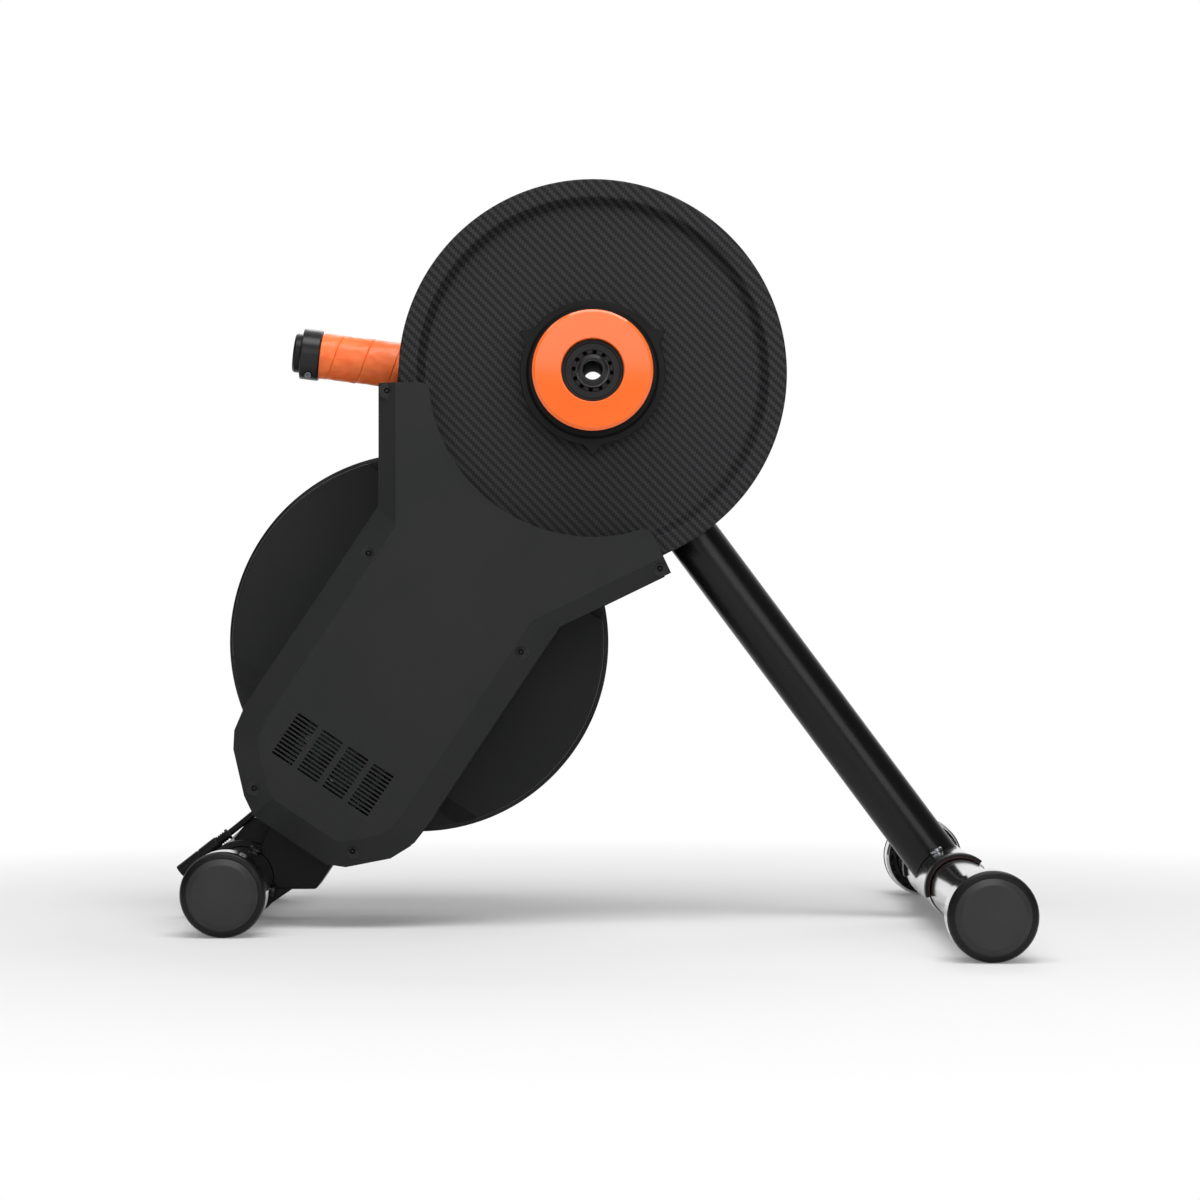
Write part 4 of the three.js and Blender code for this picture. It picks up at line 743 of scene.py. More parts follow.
# Hub: guards either side of the cog, lock ring, freehub, axle and its two end caps
guards = {
    "outerRadius": 36.9, "outerHole": 19.1, "outerFace": -63.0, "outerBack": -55.0, "seat": 22.0,
    "seatFrom": -48.4, "seatTo": -50.3, "innerRadius": 44.8, "innerNear": -37.0, "innerFar": -33.0,
    "collarRadius": 39.8, "collarNear": -41.0, "collarWall": 6.0, "earRadius": 51.0, "earHalf": 8.5,
    "earTurns": (30, 150, 270), "neck": 21.0, "neckTo": -45.6, "bore": 17.5, "sides": 720}
freehub = {
    "radius": 17.2, "near": -50.3, "far": -27.0, "bore": 13.3, "splines": 9, "splineDeep": 1.1,
    "splineFoot": (14.5, 2.0), "splineTop": (17.0, 1.6)}
lockRing = {
    "radius": 18.7, "bore": 10.3, "near": -54.0, "thick": 3.4, "land": 12.6, "rim": 2.0, "step": 0.5,
    "notches": 12, "notchRadius": 1.45, "notchDeep": 2.4, "floorRadius": 13.3, "floor": 1.3}
cogSet = {"teeth": 14, "pitch": 12.7, "thick": 2.2, "plane": -47.0, "roller": 4.1, "tip": 2.5, "samples": 16}
axle = {
    "radius": 8.5, "bore": 6.0, "liner": 0.5, "near": -58.0, "far": 62.0, "capFace": 66.0,
    "noseRadius": 9.5, "noseTip": 7.6, "noseStep": -61.6, "farCapRadius": 14.5}


def makeOuterGuard():
    g = guards
    rim, hole, face = g["outerRadius"], g["outerHole"], g["outerFace"]
    disc = turned("outerGuard", [
        (g["bore"], g["seatFrom"], 0.2), (g["seat"], g["seatFrom"], 0.3), (g["seat"], g["outerBack"], 1.0),
        (rim - 2, g["outerBack"], 0.8), (rim, g["outerBack"] - 2, 0.8), (rim, face + 1.2, 0.5),
        (rim - 1.3, face + 0.5, 0.3), (rim - 1.7, face, 0.3), (hole + 0.6, face, 0.5),
        (hole, face + 0.6, 0.3), (hole, g["seatTo"]), (g["bore"], g["seatTo"])], hubPlace, sides=192,
        material=guardAbs)
    finished(edged(disc, 0), "freehub", ["outer_guard"])


# The rim of the inner guard: round, with three ears that draw in to a blunt point
def guardRim(turn):
    g = guards
    reach = g["innerRadius"]
    for ear in g["earTurns"]:
        off = abs((math.degrees(turn) - ear + 180) % 360 - 180) / g["earHalf"]
        if off < 1:
            reach += (g["earRadius"] - g["innerRadius"]) * min(1.0, 1.15 * (1 - off) ** 1.6)
    return reach


def makeInnerGuard():
    g = guards
    plate, collar, neck = g["innerNear"], g["collarRadius"], g["neck"]
    within = collar - g["collarWall"]
    rimProfile = [(0, g["innerFar"]), (0, plate + 0.5), (-0.5, plate)]  # measured from the rim
    profile = [
        (collar + 1.2, plate), (collar + 0.9, plate - 0.4), (collar, g["collarNear"] + 0.8),
        (collar - 0.8, g["collarNear"]), (within + 0.6, g["collarNear"]), (within, g["collarNear"] + 0.6),
        (within, plate - 0.6), (within - 0.6, plate), (neck + 0.8, plate), (neck, plate - 0.8),
        (neck, g["neckTo"]), (g["bore"], g["neckTo"]), (g["bore"], g["innerFar"])]
    rings = []
    for i in range(g["sides"]):
        turn = 2 * math.pi * i / g["sides"]
        reaches = [(guardRim(turn) + r, y) for r, y in rimProfile] + profile
        rings.append([(hub.x + r * math.cos(turn), y, hub.y + r * math.sin(turn)) for r, y in reaches])
    body = edged(tidied(pieceFrom("innerGuard", *loft(rings, wrap=True), guardNylon), 0.001), 0)
    finished(body, "freehub", ["inner_guard"])


def makeLockRing():
    k = lockRing
    near, back, rim = k["near"], k["near"] + k["thick"], k["radius"]
    body = turned("lockRingBody", [
        (k["bore"], near, 0.3), (k["land"], near, 0.1), (k["land"] + 0.3, near + k["step"], 0.1),
        (rim - k["rim"], near + k["step"], 0.2), (rim - k["rim"] + 0.4, near, 0.2), (rim, near, 0.4),
        (rim, back, 0.3), (k["bore"], back, 0.3)], hubPlace, sides=144, material=ringAnodised)
    notch = turned("notch", [
        (0, -1), (k["notchRadius"], -1), (k["notchRadius"], k["notchDeep"]), (0, k["notchDeep"])],
        (k["bore"] + 1.2, 0, 0), False, 20)
    cutters = grown("notches", "copiesRoundAxis", {
        "Shape": notch, "Count": k["notches"], "Start": 0.1, "Centre": (hub.x * mm, near * mm, hub.y * mm),
        "Finish": ringAnodised})
    combined(body, [cutters], "DIFFERENCE")
    # Painted shade: a near black ring on the notches' floor, so that they read dark
    bore, top, floor = k["bore"] + 0.1, near + k["floor"], near + k["floor"] + 0.5
    shade = turned(
        "notchFloor", [(bore, top), (k["floorRadius"], top), (k["floorRadius"], floor), (bore, floor)],
        hubPlace, sides=72, material=paintedShadeBlack)
    whole = merged("lockRing", [edged(body, 0), edged(shade, 0)])
    finished(whole, "freehub", ["lock_ring"])


# The cog's outline: round seats for the chain's rollers, and flanks that lean in to a blunt tip
def makeCog():
    c = cogSet
    pitchRadius = c["pitch"] / (2 * math.sin(math.pi / c["teeth"]))
    outline = []
    for step in range(c["teeth"] * c["samples"]):
        tooth, share = divmod(step / c["samples"], 1)
        turn = 2 * math.pi * (tooth + share) / c["teeth"]
        away = min(share, 1 - share) * 2 * math.pi * pitchRadius / c["teeth"]
        if away < c["roller"]:
            radius = pitchRadius - math.sqrt(c["roller"] ** 2 - away ** 2) * 0.97
        else:
            radius = min(pitchRadius + c["tip"], pitchRadius + (away - c["roller"]) * 1.6)
        outline.append(Vector((radius * math.cos(turn), radius * math.sin(turn))))
    inner = [point.normalized() * guards["bore"] for point in outline]
    near, far = c["plane"] - c["thick"] / 2, c["plane"] + c["thick"] / 2
    rings = [
        [(hub.x + point.x, y, hub.y + point.y) for point in ring]
        for ring, y in ((inner, near), (outline, near), (outline, far), (inner, far))]
    body = edged(tidied(pieceFrom("cogWheel", *loft(rings, wrap=True), shaftSteel)), 0.25, 1)
    finished(body, "freehub", ["cog"])


def makeFreehub():
    f = freehub
    valley = f["radius"] - f["splineDeep"]
    body = turned("freehubShell", [
        (f["bore"], f["near"], 0.3), (valley, f["near"], 0.3), (valley, f["far"], 0.3),
        (f["bore"], f["far"], 0.3)], hubPlace, sides=128, material=shaftSteel)
    (footX, footZ), (topX, topZ) = f["splineFoot"], f["splineTop"]
    section = [(footX, -footZ), (topX, -topZ), (topX, topZ), (footX, footZ)]
    ends = [[(x, y, z) for x, z in section] for y in (f["near"] + 1, f["far"] - 0.5)]
    spline = tidied(pieceFrom("spline", *loft(ends, True, True)))
    splines = grown("splines", "copiesRoundAxis", {
        "Shape": spline, "Count": f["splines"], "Start": 0.0, "Centre": hubCentre, "Finish": shaftSteel})
    whole = merged("freehubBody", [edged(body, 0), edged(splines, 0.2, 1)], shaftSteel)
    finished(whole, "freehub", ["freehub_body"])


def makeAxle():
    a = axle
    bore, face, nose, cap = a["bore"], a["capFace"], a["noseRadius"], a["farCapRadius"]
    wall = turned("axleWall", [
        (bore + a["liner"], a["near"], 0.2), (a["radius"], a["near"], 0.6), (a["radius"], a["far"], 0.6),
        (bore + a["liner"], a["far"], 0.2)], hubPlace, sides=96, material=shaftSteel)
    # Painted shade: a near black liner inside the bore, so that the hole reads dark
    lined = bore + a["liner"] + 0.1
    liner = turned("axleLiner", [
        (bore, a["near"] + 0.2), (lined, a["near"] + 0.2), (lined, a["far"] - 0.2), (bore, a["far"] - 0.2)],
        hubPlace, sides=96, material=paintedShadeBlack)
    finished(merged("hubAxle", [edged(wall, 0), edged(liner, 0)]), "stand", ["hub_axle"])
    drive = turned("driveEndCap", [
        (bore, -face, 0.5), (a["noseTip"], -face, 0.3), (nose, -face + 1.6, 0.8),
        (nose, a["noseStep"], 0.5), (nose - 0.8, a["noseStep"] + 0.8, 0.3),
        (nose - 0.8, a["near"] - fit, 0.3), (bore, a["near"] - fit, 0.2)], hubPlace, sides=96,
        material=ringAnodised)
    finished(edged(drive, 0), "stand", ["drive_end_cap"])
    far = turned("farEndCap", [
        (bore, a["far"] + fit, 0.2), (cap, a["far"] + fit, 0.4), (cap, face - 0.8, 0.6),
        (cap - 1.2, face, 0.5), (bore, face, 0.5)], hubPlace, sides=96, material=shaftSteel)
    finished(edged(far, 0), "stand", ["far_end_cap"])


bearings = [
    {
        "piece": "pulleyBearingInner", "node": "pulley_bearing_inner", "at": "hub", "inner": 8.8,
        "outer": 15.0, "near": -7.0, "far": 0.0},
    {
        "piece": "pulleyBearingOuter", "node": "pulley_bearing_outer", "at": "hub", "inner": 8.8,
        "outer": 15.0, "near": -26.0, "far": -19.0},
    {
        "piece": "freehubBearing", "node": "freehub_bearing", "at": "hub", "inner": 8.8, "outer": 13.0,
        "near": -49.3, "far": -28.0},
    {
        "piece": "flywheelBearingInner", "node": "flywheel_bearing_inner", "at": "wheel", "inner": 8.8,
        "outer": 20.0, "near": 10.0, "far": 22.0},
    {
        "piece": "flywheelBearingOuter", "node": "flywheel_bearing_outer", "at": "wheel", "inner": 8.8,
        "outer": 20.0, "near": 86.0, "far": 98.0}]


# Sealed bearings at one axis: two races with a seal set back between them
def makeBearings(at, place):
    for b in [b for b in bearings if b["at"] == at]:
        inner, outer, near, far = b["inner"], b["outer"], b["near"], b["far"]
        wall, deep = (outer - inner) * 0.27, 0.7
        races = turned(b["piece"], [
            (inner, near, 0.4), (inner + wall, near, 0.3), (inner + wall, near + deep, 0.1),
            (outer - wall, near + deep, 0.1), (outer - wall, near, 0.3), (outer, near, 0.5),
            (outer, far, 0.5), (outer - wall, far, 0.3), (outer - wall, far - deep, 0.1),
            (inner + wall, far - deep, 0.1), (inner + wall, far, 0.3), (inner, far, 0.4)],
            place, sides=72, material=shaftSteel)
        finished(edged(races, 0), "stand", [b["node"]])


makeOuterGuard()
makeInnerGuard()
makeLockRing()
makeCog()
makeFreehub()
makeAxle()
makeBearings("hub", hubPlace)
print("hub ready")

# Front cover: sloped flanks round a flat face, bitten out round the large pulley
cover = {
    "face": -40.0, "shoulder": -32.0, "back": 3.7, "wall": 2.5, "length": 343.0, "halfWidth": 67.0,
    "shift": 3.0, "topShare": 0.175, "bodyFlank": 16.0, "armFlank": 10.9, "wallRadius": 132.0,
    "armDepth": 32.5, "armRootShare": 0.51, "bite": 101.2, "tipCorner": 7.0, "roomRadius": 122.5,
    "roomNear": -31.5, "edge": 0.9, "screwRecess": 3.4, "screwFloor": -34.4, "post": 5.0}
coverEndShares = [
    (0.846, -1), (0.892, -0.955), (0.921, -0.866), (0.98, -0.545), (1, -0.373), (1, 0.433), (0.985, 0.597),
    (0.927, 0.896), (0.889, 0.985), (0.848, 1)]
screwShares = [(0.493, -0.833), (0.957, -0.503), (0.953, 0.567), (0.488, 0.836)]
# Of the cover's right arm, along the belt's front run
runTurn = math.asin((pulley["radius"] - layout["beltSmall"]) / layout["beltCentres"])
arms = [
    {"out": Vector((-1, 0)), "down": Vector((0, -1)), "side": -1, "tip": 6.3},
    {
        "out": across * math.cos(runTurn) + along * math.sin(runTurn),
        "down": along * math.cos(runTurn) - across * math.sin(runTurn), "side": 1, "tip": 10.3}]


def onCover(reachShare, sideShare):
    return onBelt(reachShare * cover["length"], cover["shift"] + sideShare * cover["halfWidth"])


def bodyRing():
    return [onCover(*shares) for shares in [(cover["topShare"], 1), (cover["topShare"], -1), *coverEndShares]]


# Where two lines cross
def meet(start, way, other, otherWay):
    turn = way.x * otherWay.y - way.y * otherWay.x
    gap = other - start
    return start + way * ((gap.x * otherWay.y - gap.y * otherWay.x) / turn)


# A convex ring grown by a distance, its edges kept parallel
def grownRing(ring, distance):
    centre = sum(ring, Vector((0, 0))) / len(ring)
    edges = []
    for i, point in enumerate(ring):
        way = (ring[(i + 1) % len(ring)] - point).normalized()
        out = Vector((way.y, -way.x))
        if out.dot(point - centre) < 0:
            out.negate()
        edges.append((point + out * distance, way))
    return [meet(edges[i - 1][0], edges[i - 1][1], edges[i][0], edges[i][1]) for i in range(len(ring))]


def onArm(arm, out, down):
    return hub + arm["out"] * out + arm["down"] * down


# An arm's outline: its wall runs down to the body's side, and its tip has a rounded inner corner
def armRing(arm, grow, flank, sideFlank, tipGrow=0.0):
    wall = cover["wallRadius"] + grow - flank
    reach = cover["shift"] + arm["side"] * (cover["halfWidth"] + grow - sideFlank)
    knee = meet(onArm(arm, wall, 0), arm["down"], onBelt(0, reach), along)
    inner, corner = cover["wallRadius"] - cover["armDepth"], cover["tipCorner"]
    ring = [
        onArm(arm, wall, arm["tip"] - tipGrow), knee,
        onBelt(cover["length"] * cover["armRootShare"], cover["shift"]),
        onArm(arm, inner - 20, arm["tip"] + 56)]  # the last one lies inside the body
    for out, down in ((0, 1), (0.09, 0.55), (0.3, 0.3), (0.55, 0.09), (1, 0)):
        ring.append(onArm(arm, inner + out * corner, arm["tip"] + down * corner - tipGrow))
    return ring


def coverHulls(grow, face, shoulder, back, tipGrow=0.0):
    outer, inner = grownRing(bodyRing(), grow), grownRing(bodyRing(), grow - cover["bodyFlank"])
    hulls = [hulled("coverBody", [(outer, back), (outer, shoulder), (inner, face)])]
    for arm in arms:
        wide = armRing(arm, grow, 0, 0, tipGrow)
        narrow = armRing(arm, grow, cover["armFlank"], cover["bodyFlank"], tipGrow)
        hulls.append(hulled("coverArm", [(wide, back), (wide, shoulder), (narrow, face)]))
    return hulls


screwSpots = [onCover(*shares) for shares in screwShares]
screwSpots += [onArm(arm, cover["wallRadius"] - cover["armFlank"] / 2, arm["tip"] + 5) for arm in arms]
vents = {
    "rows": 12, "columns": 4, "pitch": 2.55, "slot": 1.25, "long": 15.0, "rib": 3.6, "place": 289.0,
    "offset": 1.5, "near": -4.0, "far": 6.0}
coverScrew = {"radius": 1.5, "head": 2.0, "tall": 1.7, "shank": 42.0, "washer": 3.2}


# One slot with round ends
def slotCutter():
    half, straight = vents["slot"] / 2, vents["long"] / 2 - vents["slot"] / 2
    outline = [
        (half * math.cos(t), straight + half * math.sin(t)) for t in [math.pi * i / 6 for i in range(7)]]
    outline += [(-x, -z) for x, z in outline]
    ends = [[(x, y, z) for x, z in outline] for y in (vents["near"], vents["far"])]
    return tidied(pieceFrom("slot", *loft(ends, True, True)))


def makeCover():
    c = cover
    start, end = c["face"] - overlap, c["back"] + overlap
    hulls = coverHulls(0, c["face"], c["shoulder"], c["back"])
    shell = edged(tidied(combined(hulls[0], hulls[1:], "UNION")), c["edge"], 3, 12)
    bite = rod("bite", c["bite"], start, end, hub.x, hub.y, 256)
    hollows = coverHulls(-c["wall"], c["face"] + c["wall"], c["shoulder"] + c["wall"] / 2, end, overlap)
    room = rod("pulleyRoom", c["roomRadius"], c["roomNear"], end, hub.x, hub.y, 256)
    hollow = combined(hollows[0], [*hollows[1:], room], "UNION")
    combined(shell, [bite, hollow], "DIFFERENCE")
    heads = [rod("head", c["screwRecess"], start, c["screwFloor"], p.x, p.y, 40) for p in screwSpots]
    combined(shell, heads, "DIFFERENCE")
    middle = onBelt(vents["place"], vents["offset"])
    slots = grown("ventSlots", "copiesInRows", {
        "Shape": slotCutter(), "Rows": vents["rows"], "Columns": vents["columns"],
        "Long": (vents["rows"] - 1) * vents["pitch"] * mm,
        "Wide": (vents["columns"] - 1) * (vents["long"] + vents["rib"]) * mm, "Turn": math.pi - beltTurn,
        "Centre": [middle.x * mm, c["face"] * mm, middle.y * mm], "Finish": coverAbs})
    combined(shell, [slots], "DIFFERENCE")
    posts = [rod("post", c["post"], c["screwFloor"] - 2, c["back"], p.x, p.y, 32) for p in screwSpots]
    shell = merged("frontCover", [shell, *posts], coverAbs)
    finished(edged(shell, 0.25, 1, 45), "stand", ["front_cover"])


# A small socket screw: rounded head with a six-sided recess, its seat at Y 0
def socketScrew(size, material):
    sides, radius, head, tall = 24, size["radius"], size["head"], size["tall"]
    seat = size.get("washer", head)
    turns = [2 * math.pi * i / sides for i in range(sides)]
    flat = head * 0.52 * math.cos(math.pi / 6)  # half the recess, across its flats
    rings = [
        [(r * math.cos(turn), y, r * math.sin(turn)) for turn in turns]
        for r, y in (
            (radius, size["shank"]), (radius, 0), (seat, 0), (seat, -0.3), (head, -0.3),
            (head, -tall * 0.7), (head * 0.86, -tall))]
    for y in (-tall, -tall * 0.35):
        reaches = [flat / math.cos((turn % (math.pi / 3)) - math.pi / 6) for turn in turns]
        rings.append([(r * math.cos(turn), y, r * math.sin(turn)) for r, turn in zip(reaches, turns)])
    return edged(tidied(pieceFrom("screw", *loft(rings, True, True), material)), 0)


def makeCoverScrews():
    spots = pieceFrom("coverScrews", [(p.x, cover["screwFloor"] - fit, p.y) for p in screwSpots], [])
    screw = socketScrew(coverScrew, screwOxide)
    screws = grown("coverScrews", "copiesAtPoints", {"Shape": screw, "Finish": screwOxide}, spots)
    finished(screws, "stand", [f"cover_screw_{i + 1}" for i in range(len(screwSpots))])


makeCover()
makeCoverScrews()
print("cover ready")

# Cast frame: a tray behind the cover, with the hub boss, the flywheel's bearing tube and two sockets
tray = {
    "near": 4.0, "far": 60.0, "lip": 0.8, "wall": 4.0, "floor": 5.0, "tipDrop": 4.0, "head": 44.0,
    "headShare": 0.42, "boss": 30.0, "bossFar": 62.0, "bore": 8.8, "tubeRadius": 24.0, "tubeBore": 20.3,
    "tubeNear": 5.0, "tubeFar": 99.0, "edge": 2.2, "webRoot": 48.0, "webSide": 51.0, "posts": 3,
    "postRadius": 5.0, "postReach": 46.0, "postNear": 55.0, "postFar": 64.7, "ribHalf": 1.6,
    "ribNear": 59.0, "ribFar": 62.0, "ribEnds": (
        ((42, -30), (150, -56)), ((42, 30), (150, 56)), ((336, -40), (336, 46)), ((60, 0), (120, 0)))}
strut = {
    "radius": 16.5, "wall": 2.0, "plane": 42.0, "drop": 14.5, "socketWall": 4.0, "socketReach": 84.0,
    "socketDepth": 36.0, "boltReach": 64.2, "boltSeat": 61.0, "boltRecess": 5.6, "cope": 20.1}
handle = {
    "plane": 30.0, "tilt": 7.0, "reach": 190.4, "drop": 7.0, "bar": 11.0, "bore": 9.0, "barStart": 45.0,
    "tape": 14.6, "tapeStart": 112.6, "tapePitch": 19.2, "tapeStep": 0.6, "tapePhase": 0.97,
    "tapeBulge": 0.9, "clamp": 16.0, "clampLength": 12.0, "slitHalf": 0.6, "screwBore": 1.5,
    "screwSeat": 2.5, "screwFrom": 7.5, "plug": 12.3, "plugLength": 5.0, "socketLength": 16.0}
strutFoot = Vector((frontBar.x, strut["plane"], frontBar.y))
strutAim = Vector((hub.x, strut["plane"], hub.y - strut["drop"]))
strutWay = (strutFoot - strutAim).normalized()
strutLong = (strutFoot - strutAim).length
handleRoot = Vector((hub.x, handle["plane"], hub.y - handle["drop"]))
handleWay = Vector((-math.cos(math.radians(handle["tilt"])), 0, math.sin(math.radians(handle["tilt"]))))


def alongStrut(reach):
    return strutAim + strutWay * reach


# A rod from one point towards another, its far rim rounded
def pointed(name, root, way, radius, near, far, round=0.0, sides=96, material=None):
    corners = [(0, near), (radius, near), (radius, far, round), (0, far)]
    return toWay(
        turned(name, corners, closed=False, sides=sides, material=material, start=1 / sides), root, way)


def circleRing(centre, radius, sides=96):
    turns = [2 * math.pi * i / sides for i in range(sides)]
    return [centre + Vector((math.cos(turn), math.sin(turn))) * radius for turn in turns]


# Webs that close the corners between the head, the body and each arm
def webRing(arm):
    inner, side = cover["wallRadius"] - cover["armDepth"], arm["side"] * tray["webSide"]
    return [
        onBelt(tray["webRoot"], cover["shift"] / 3 + side),
        onArm(arm, inner + cover["tipCorner"], arm["tip"] + tray["tipDrop"]),
        onBelt(2 * tray["webRoot"], side)]


# The tray's bodies as hulls of rings, each drawn in by a wall at a depth along Y
def trayHulls(levels):
    def rings(wall):
        grow = tray["lip"] - wall
        root = [onBelt(
            cover["length"] * tray["headShare"], cover["shift"] + side * (cover["halfWidth"] - wall))
            for side in (-1, 1)]
        armRings = [armRing(arm, grow, 0, 0, -wall - tray["tipDrop"]) for arm in arms]
        webRings = [grownRing(webRing(arm), -wall) for arm in arms]
        return [
            grownRing(bodyRing(), grow), *armRings, circleRing(hub, tray["head"] - wall) + root, *webRings]

    outlines = zip(*(rings(wall) for wall, y in levels))
    return [hulled("trayPart", [(ring, y) for ring, (wall, y) in zip(group, levels)]) for group in outlines]


def makeTrayBody():
    t = tray
    e, far = t["edge"], t["far"]
    outside = trayHulls([
        (0, t["near"]), (0, far - e), (e * 0.13, far - e * 0.5), (e * 0.5, far - e * 0.13), (e, far)])
    body = combined(outside[0], outside[1:], "UNION")
    socketRadius, reach = strut["radius"] + strut["socketWall"], t["head"] + handle["socketLength"]
    socket = pointed("strutSocket", strutAim, strutWay, socketRadius, 0, strut["socketReach"], 1.0)
    socketRadius = handle["bar"] + strut["socketWall"]
    handleSocket = pointed("handleSocket", handleRoot, handleWay, socketRadius, 0, reach, 1.0)
    combined(body, [socket, handleSocket], "UNION")
    combined(body, [rod("bossEnd", t["boss"], t["bossFar"], far + 30, hub.x, hub.y, 96)], "DIFFERENCE")
    hollow = trayHulls([(t["wall"] + t["lip"], t["near"] - 3), (t["wall"] + t["lip"], far - t["floor"])])
    combined(body, [combined(hollow[0], hollow[1:], "UNION")], "DIFFERENCE")
    hubHole = rod("hubHole", (t["boss"] + t["bore"]) / 2, -3, 70, hub.x, hub.y, 90)
    tubeHole = rod("tubeHole", t["tubeRadius"] - 1.5, 0, 110, wheelAxis.x, wheelAxis.y, 90)
    combined(body, [hubHole, tubeHole], "DIFFERENCE")
    boss = turned("boss", [
        (t["bore"], t["near"], 0.5), (t["boss"], t["near"], 0.8), (t["boss"], t["bossFar"], 1.2),
        (t["bore"], t["bossFar"], 0.5)], hubPlace, sides=96)
    tube = turned("tube", [
        (t["tubeBore"], t["tubeNear"], 0.5), (t["tubeRadius"], t["tubeNear"], 0.6),
        (t["tubeRadius"], t["tubeFar"], 0.6), (t["tubeBore"], t["tubeFar"], 0.5)], wheelPlace, sides=96)
    combined(body, [boss, tube], "UNION")
    socketEnd, seat = strut["socketReach"], alongStrut(strut["boltReach"])
    cuts = [
        pointed(
            "strutBore", strutAim, strutWay, strut["radius"] + fit, socketEnd - strut["socketDepth"],
            socketEnd + overlap),
        pointed(
            "handleBore", handleRoot, handleWay, handle["bar"] + fit, t["head"] - 3, reach + overlap, 0.0,
            72),
        pointed(
            "tapeRelief", handleRoot, handleWay, handle["tape"] + 0.5, reach + 1.4, handle["reach"] + 7,
            0.0, 60),
        rod("boltSeat", strut["boltRecess"], strut["boltSeat"], 90, seat.x, seat.z, 48)]
    return edged(combined(body, cuts, "DIFFERENCE"), 0, angle=35)


def makeFrame():
    t = tray
    turns = [2 * math.pi * i / t["posts"] for i in range(t["posts"])]
    spots = [onBelt(
        layout["beltCentres"] - t["postReach"] * math.cos(turn), t["postReach"] * math.sin(turn))
        for turn in turns]
    posts = [
        edged(rod("shroudPost", t["postRadius"], t["postNear"], t["postFar"], p.x, p.y, 32)) for p in spots]
    ribs = []
    for ends in t["ribEnds"]:
        a, b = (onBelt(*end) for end in ends)
        way = (b - a).normalized()
        off = Vector((way.y, -way.x)) * t["ribHalf"]
        bar = [a + off, b + off, b - off, a - off]
        ribs.append(edged(hulled("rib", [(bar, t["ribNear"]), (bar, t["ribFar"])]), 0.8, 2, 30))
    body = merged("mainFrame", [makeTrayBody(), *posts, *ribs], framePowder)
    finished(body, "stand", ["main_frame"])


makeFrame()
print("frame ready")

# A ring about the Y axis through a place; with flats, it is cut to six sides that far from the axis
def hexRing(place, radius, y, sides, flat=0.0):
    ring = []
    for i in range(sides):
        turn = 2 * math.pi * i / sides
        reach = min(radius, flat / math.cos((turn % (math.pi / 3)) - math.pi / 6)) if flat else radius
        ring.append((place[0] + reach * math.cos(turn), y, place[2] + reach * math.sin(turn)))
    return ring


# Flywheel set: wheel, shaft, nut and the small pulley
wheel = {
    "radius": 122.3, "near": 77.0, "far": 112.0, "rim": 28.0, "web": 9.0, "hub": 30.0, "shaft": 8.5,
    "drillings": 6, "drilling": 3.0, "shaftNear": -29.0, "shaftFar": 117.0, "thread": 7.6,
    "centreHole": 2.2, "nutNear": 112.4, "nutFar": 116.2, "nutFlat": 12.9, "nutFace": 12.7,
    "nutCorner": 14.9, "small": 21.0, "smallNear": -27.0, "smallFar": -3.0, "grooves": 6,
    "grooveFrom": -22.8, "groovePitch": 3.0, "grooveTop": 18.0, "grooveFloor": 16.6, "grooveHalf": 0.9}


def makeFlywheel():
    w = wheel
    rim, inner, bore, near, far = w["radius"], w["radius"] - w["rim"], w["shaft"] + fit, w["near"], w["far"]
    body = turned("flywheelRim", [
        (bore, far - w["web"], 0.4), (inner, far - w["web"], 2.0), (inner, near, 0.8), (rim - 1, near, 0.4),
        (rim, near + 1, 0.6), (rim, far - 3, 1.2), (rim - 3, far, 1.2), (inner + 1, far, 1.0),
        (inner - 2, far - 3, 1.5), (w["hub"] + 4, far - 3, 1.5), (w["hub"], far, 0.8), (bore, far, 0.5)],
        wheelPlace, sides=256, material=wheelIron)
    holes = grown("drillings", "copiesRoundAxis", {
        "Shape": rod("drilling", w["drilling"], far - 8, far + 4, (inner + rim) / 2, 0, 32),
        "Count": w["drillings"], "Start": 0.3, "Centre": wheelCentre, "Finish": wheelIron})
    edged(combined(body, [holes], "DIFFERENCE"), 0)
    body.name = "flywheelDisc"
    finished(body, "flywheel_set", ["flywheel"])


def makeFlywheelShaft():
    w = wheel
    radius, start, end = w["shaft"], w["shaftNear"], w["shaftFar"]
    shaft = turned("flywheelShaft", [
        (0, start), (3, start, 0.5), (3.6, start + 1), (w["thread"], start + 1, 0.3),
        (radius, start + 1.8, 0.3), (radius, end - 0.8, 0.4), (w["thread"], end, 0.3),
        (w["centreHole"], end, 0.3), (0, end - 2)], wheelPlace, closed=False, sides=96, material=shaftSteel)
    finished(edged(shaft, 0), "flywheel_set", ["flywheel_shaft"])
    bore, near, far, face, corner = radius + fit, w["nutNear"], w["nutFar"], w["nutFace"], w["nutCorner"]
    rings = [hexRing(wheelPlace, r, y, 96, flat) for r, y, flat in (
        (bore, near, 0), (face, near, 0), (corner - 0.3, near + 0.5, w["nutFlat"]),
        (corner, near + 0.6, w["nutFlat"]), (corner, far - 0.8, w["nutFlat"]), (face, far, 0),
        (bore + 0.1, far, 0))]
    nut = edged(tidied(pieceFrom("flywheelNut", *loft(rings, wrap=True), shaftSteel)), 0)
    finished(nut, "flywheel_set", ["flywheel_nut"])


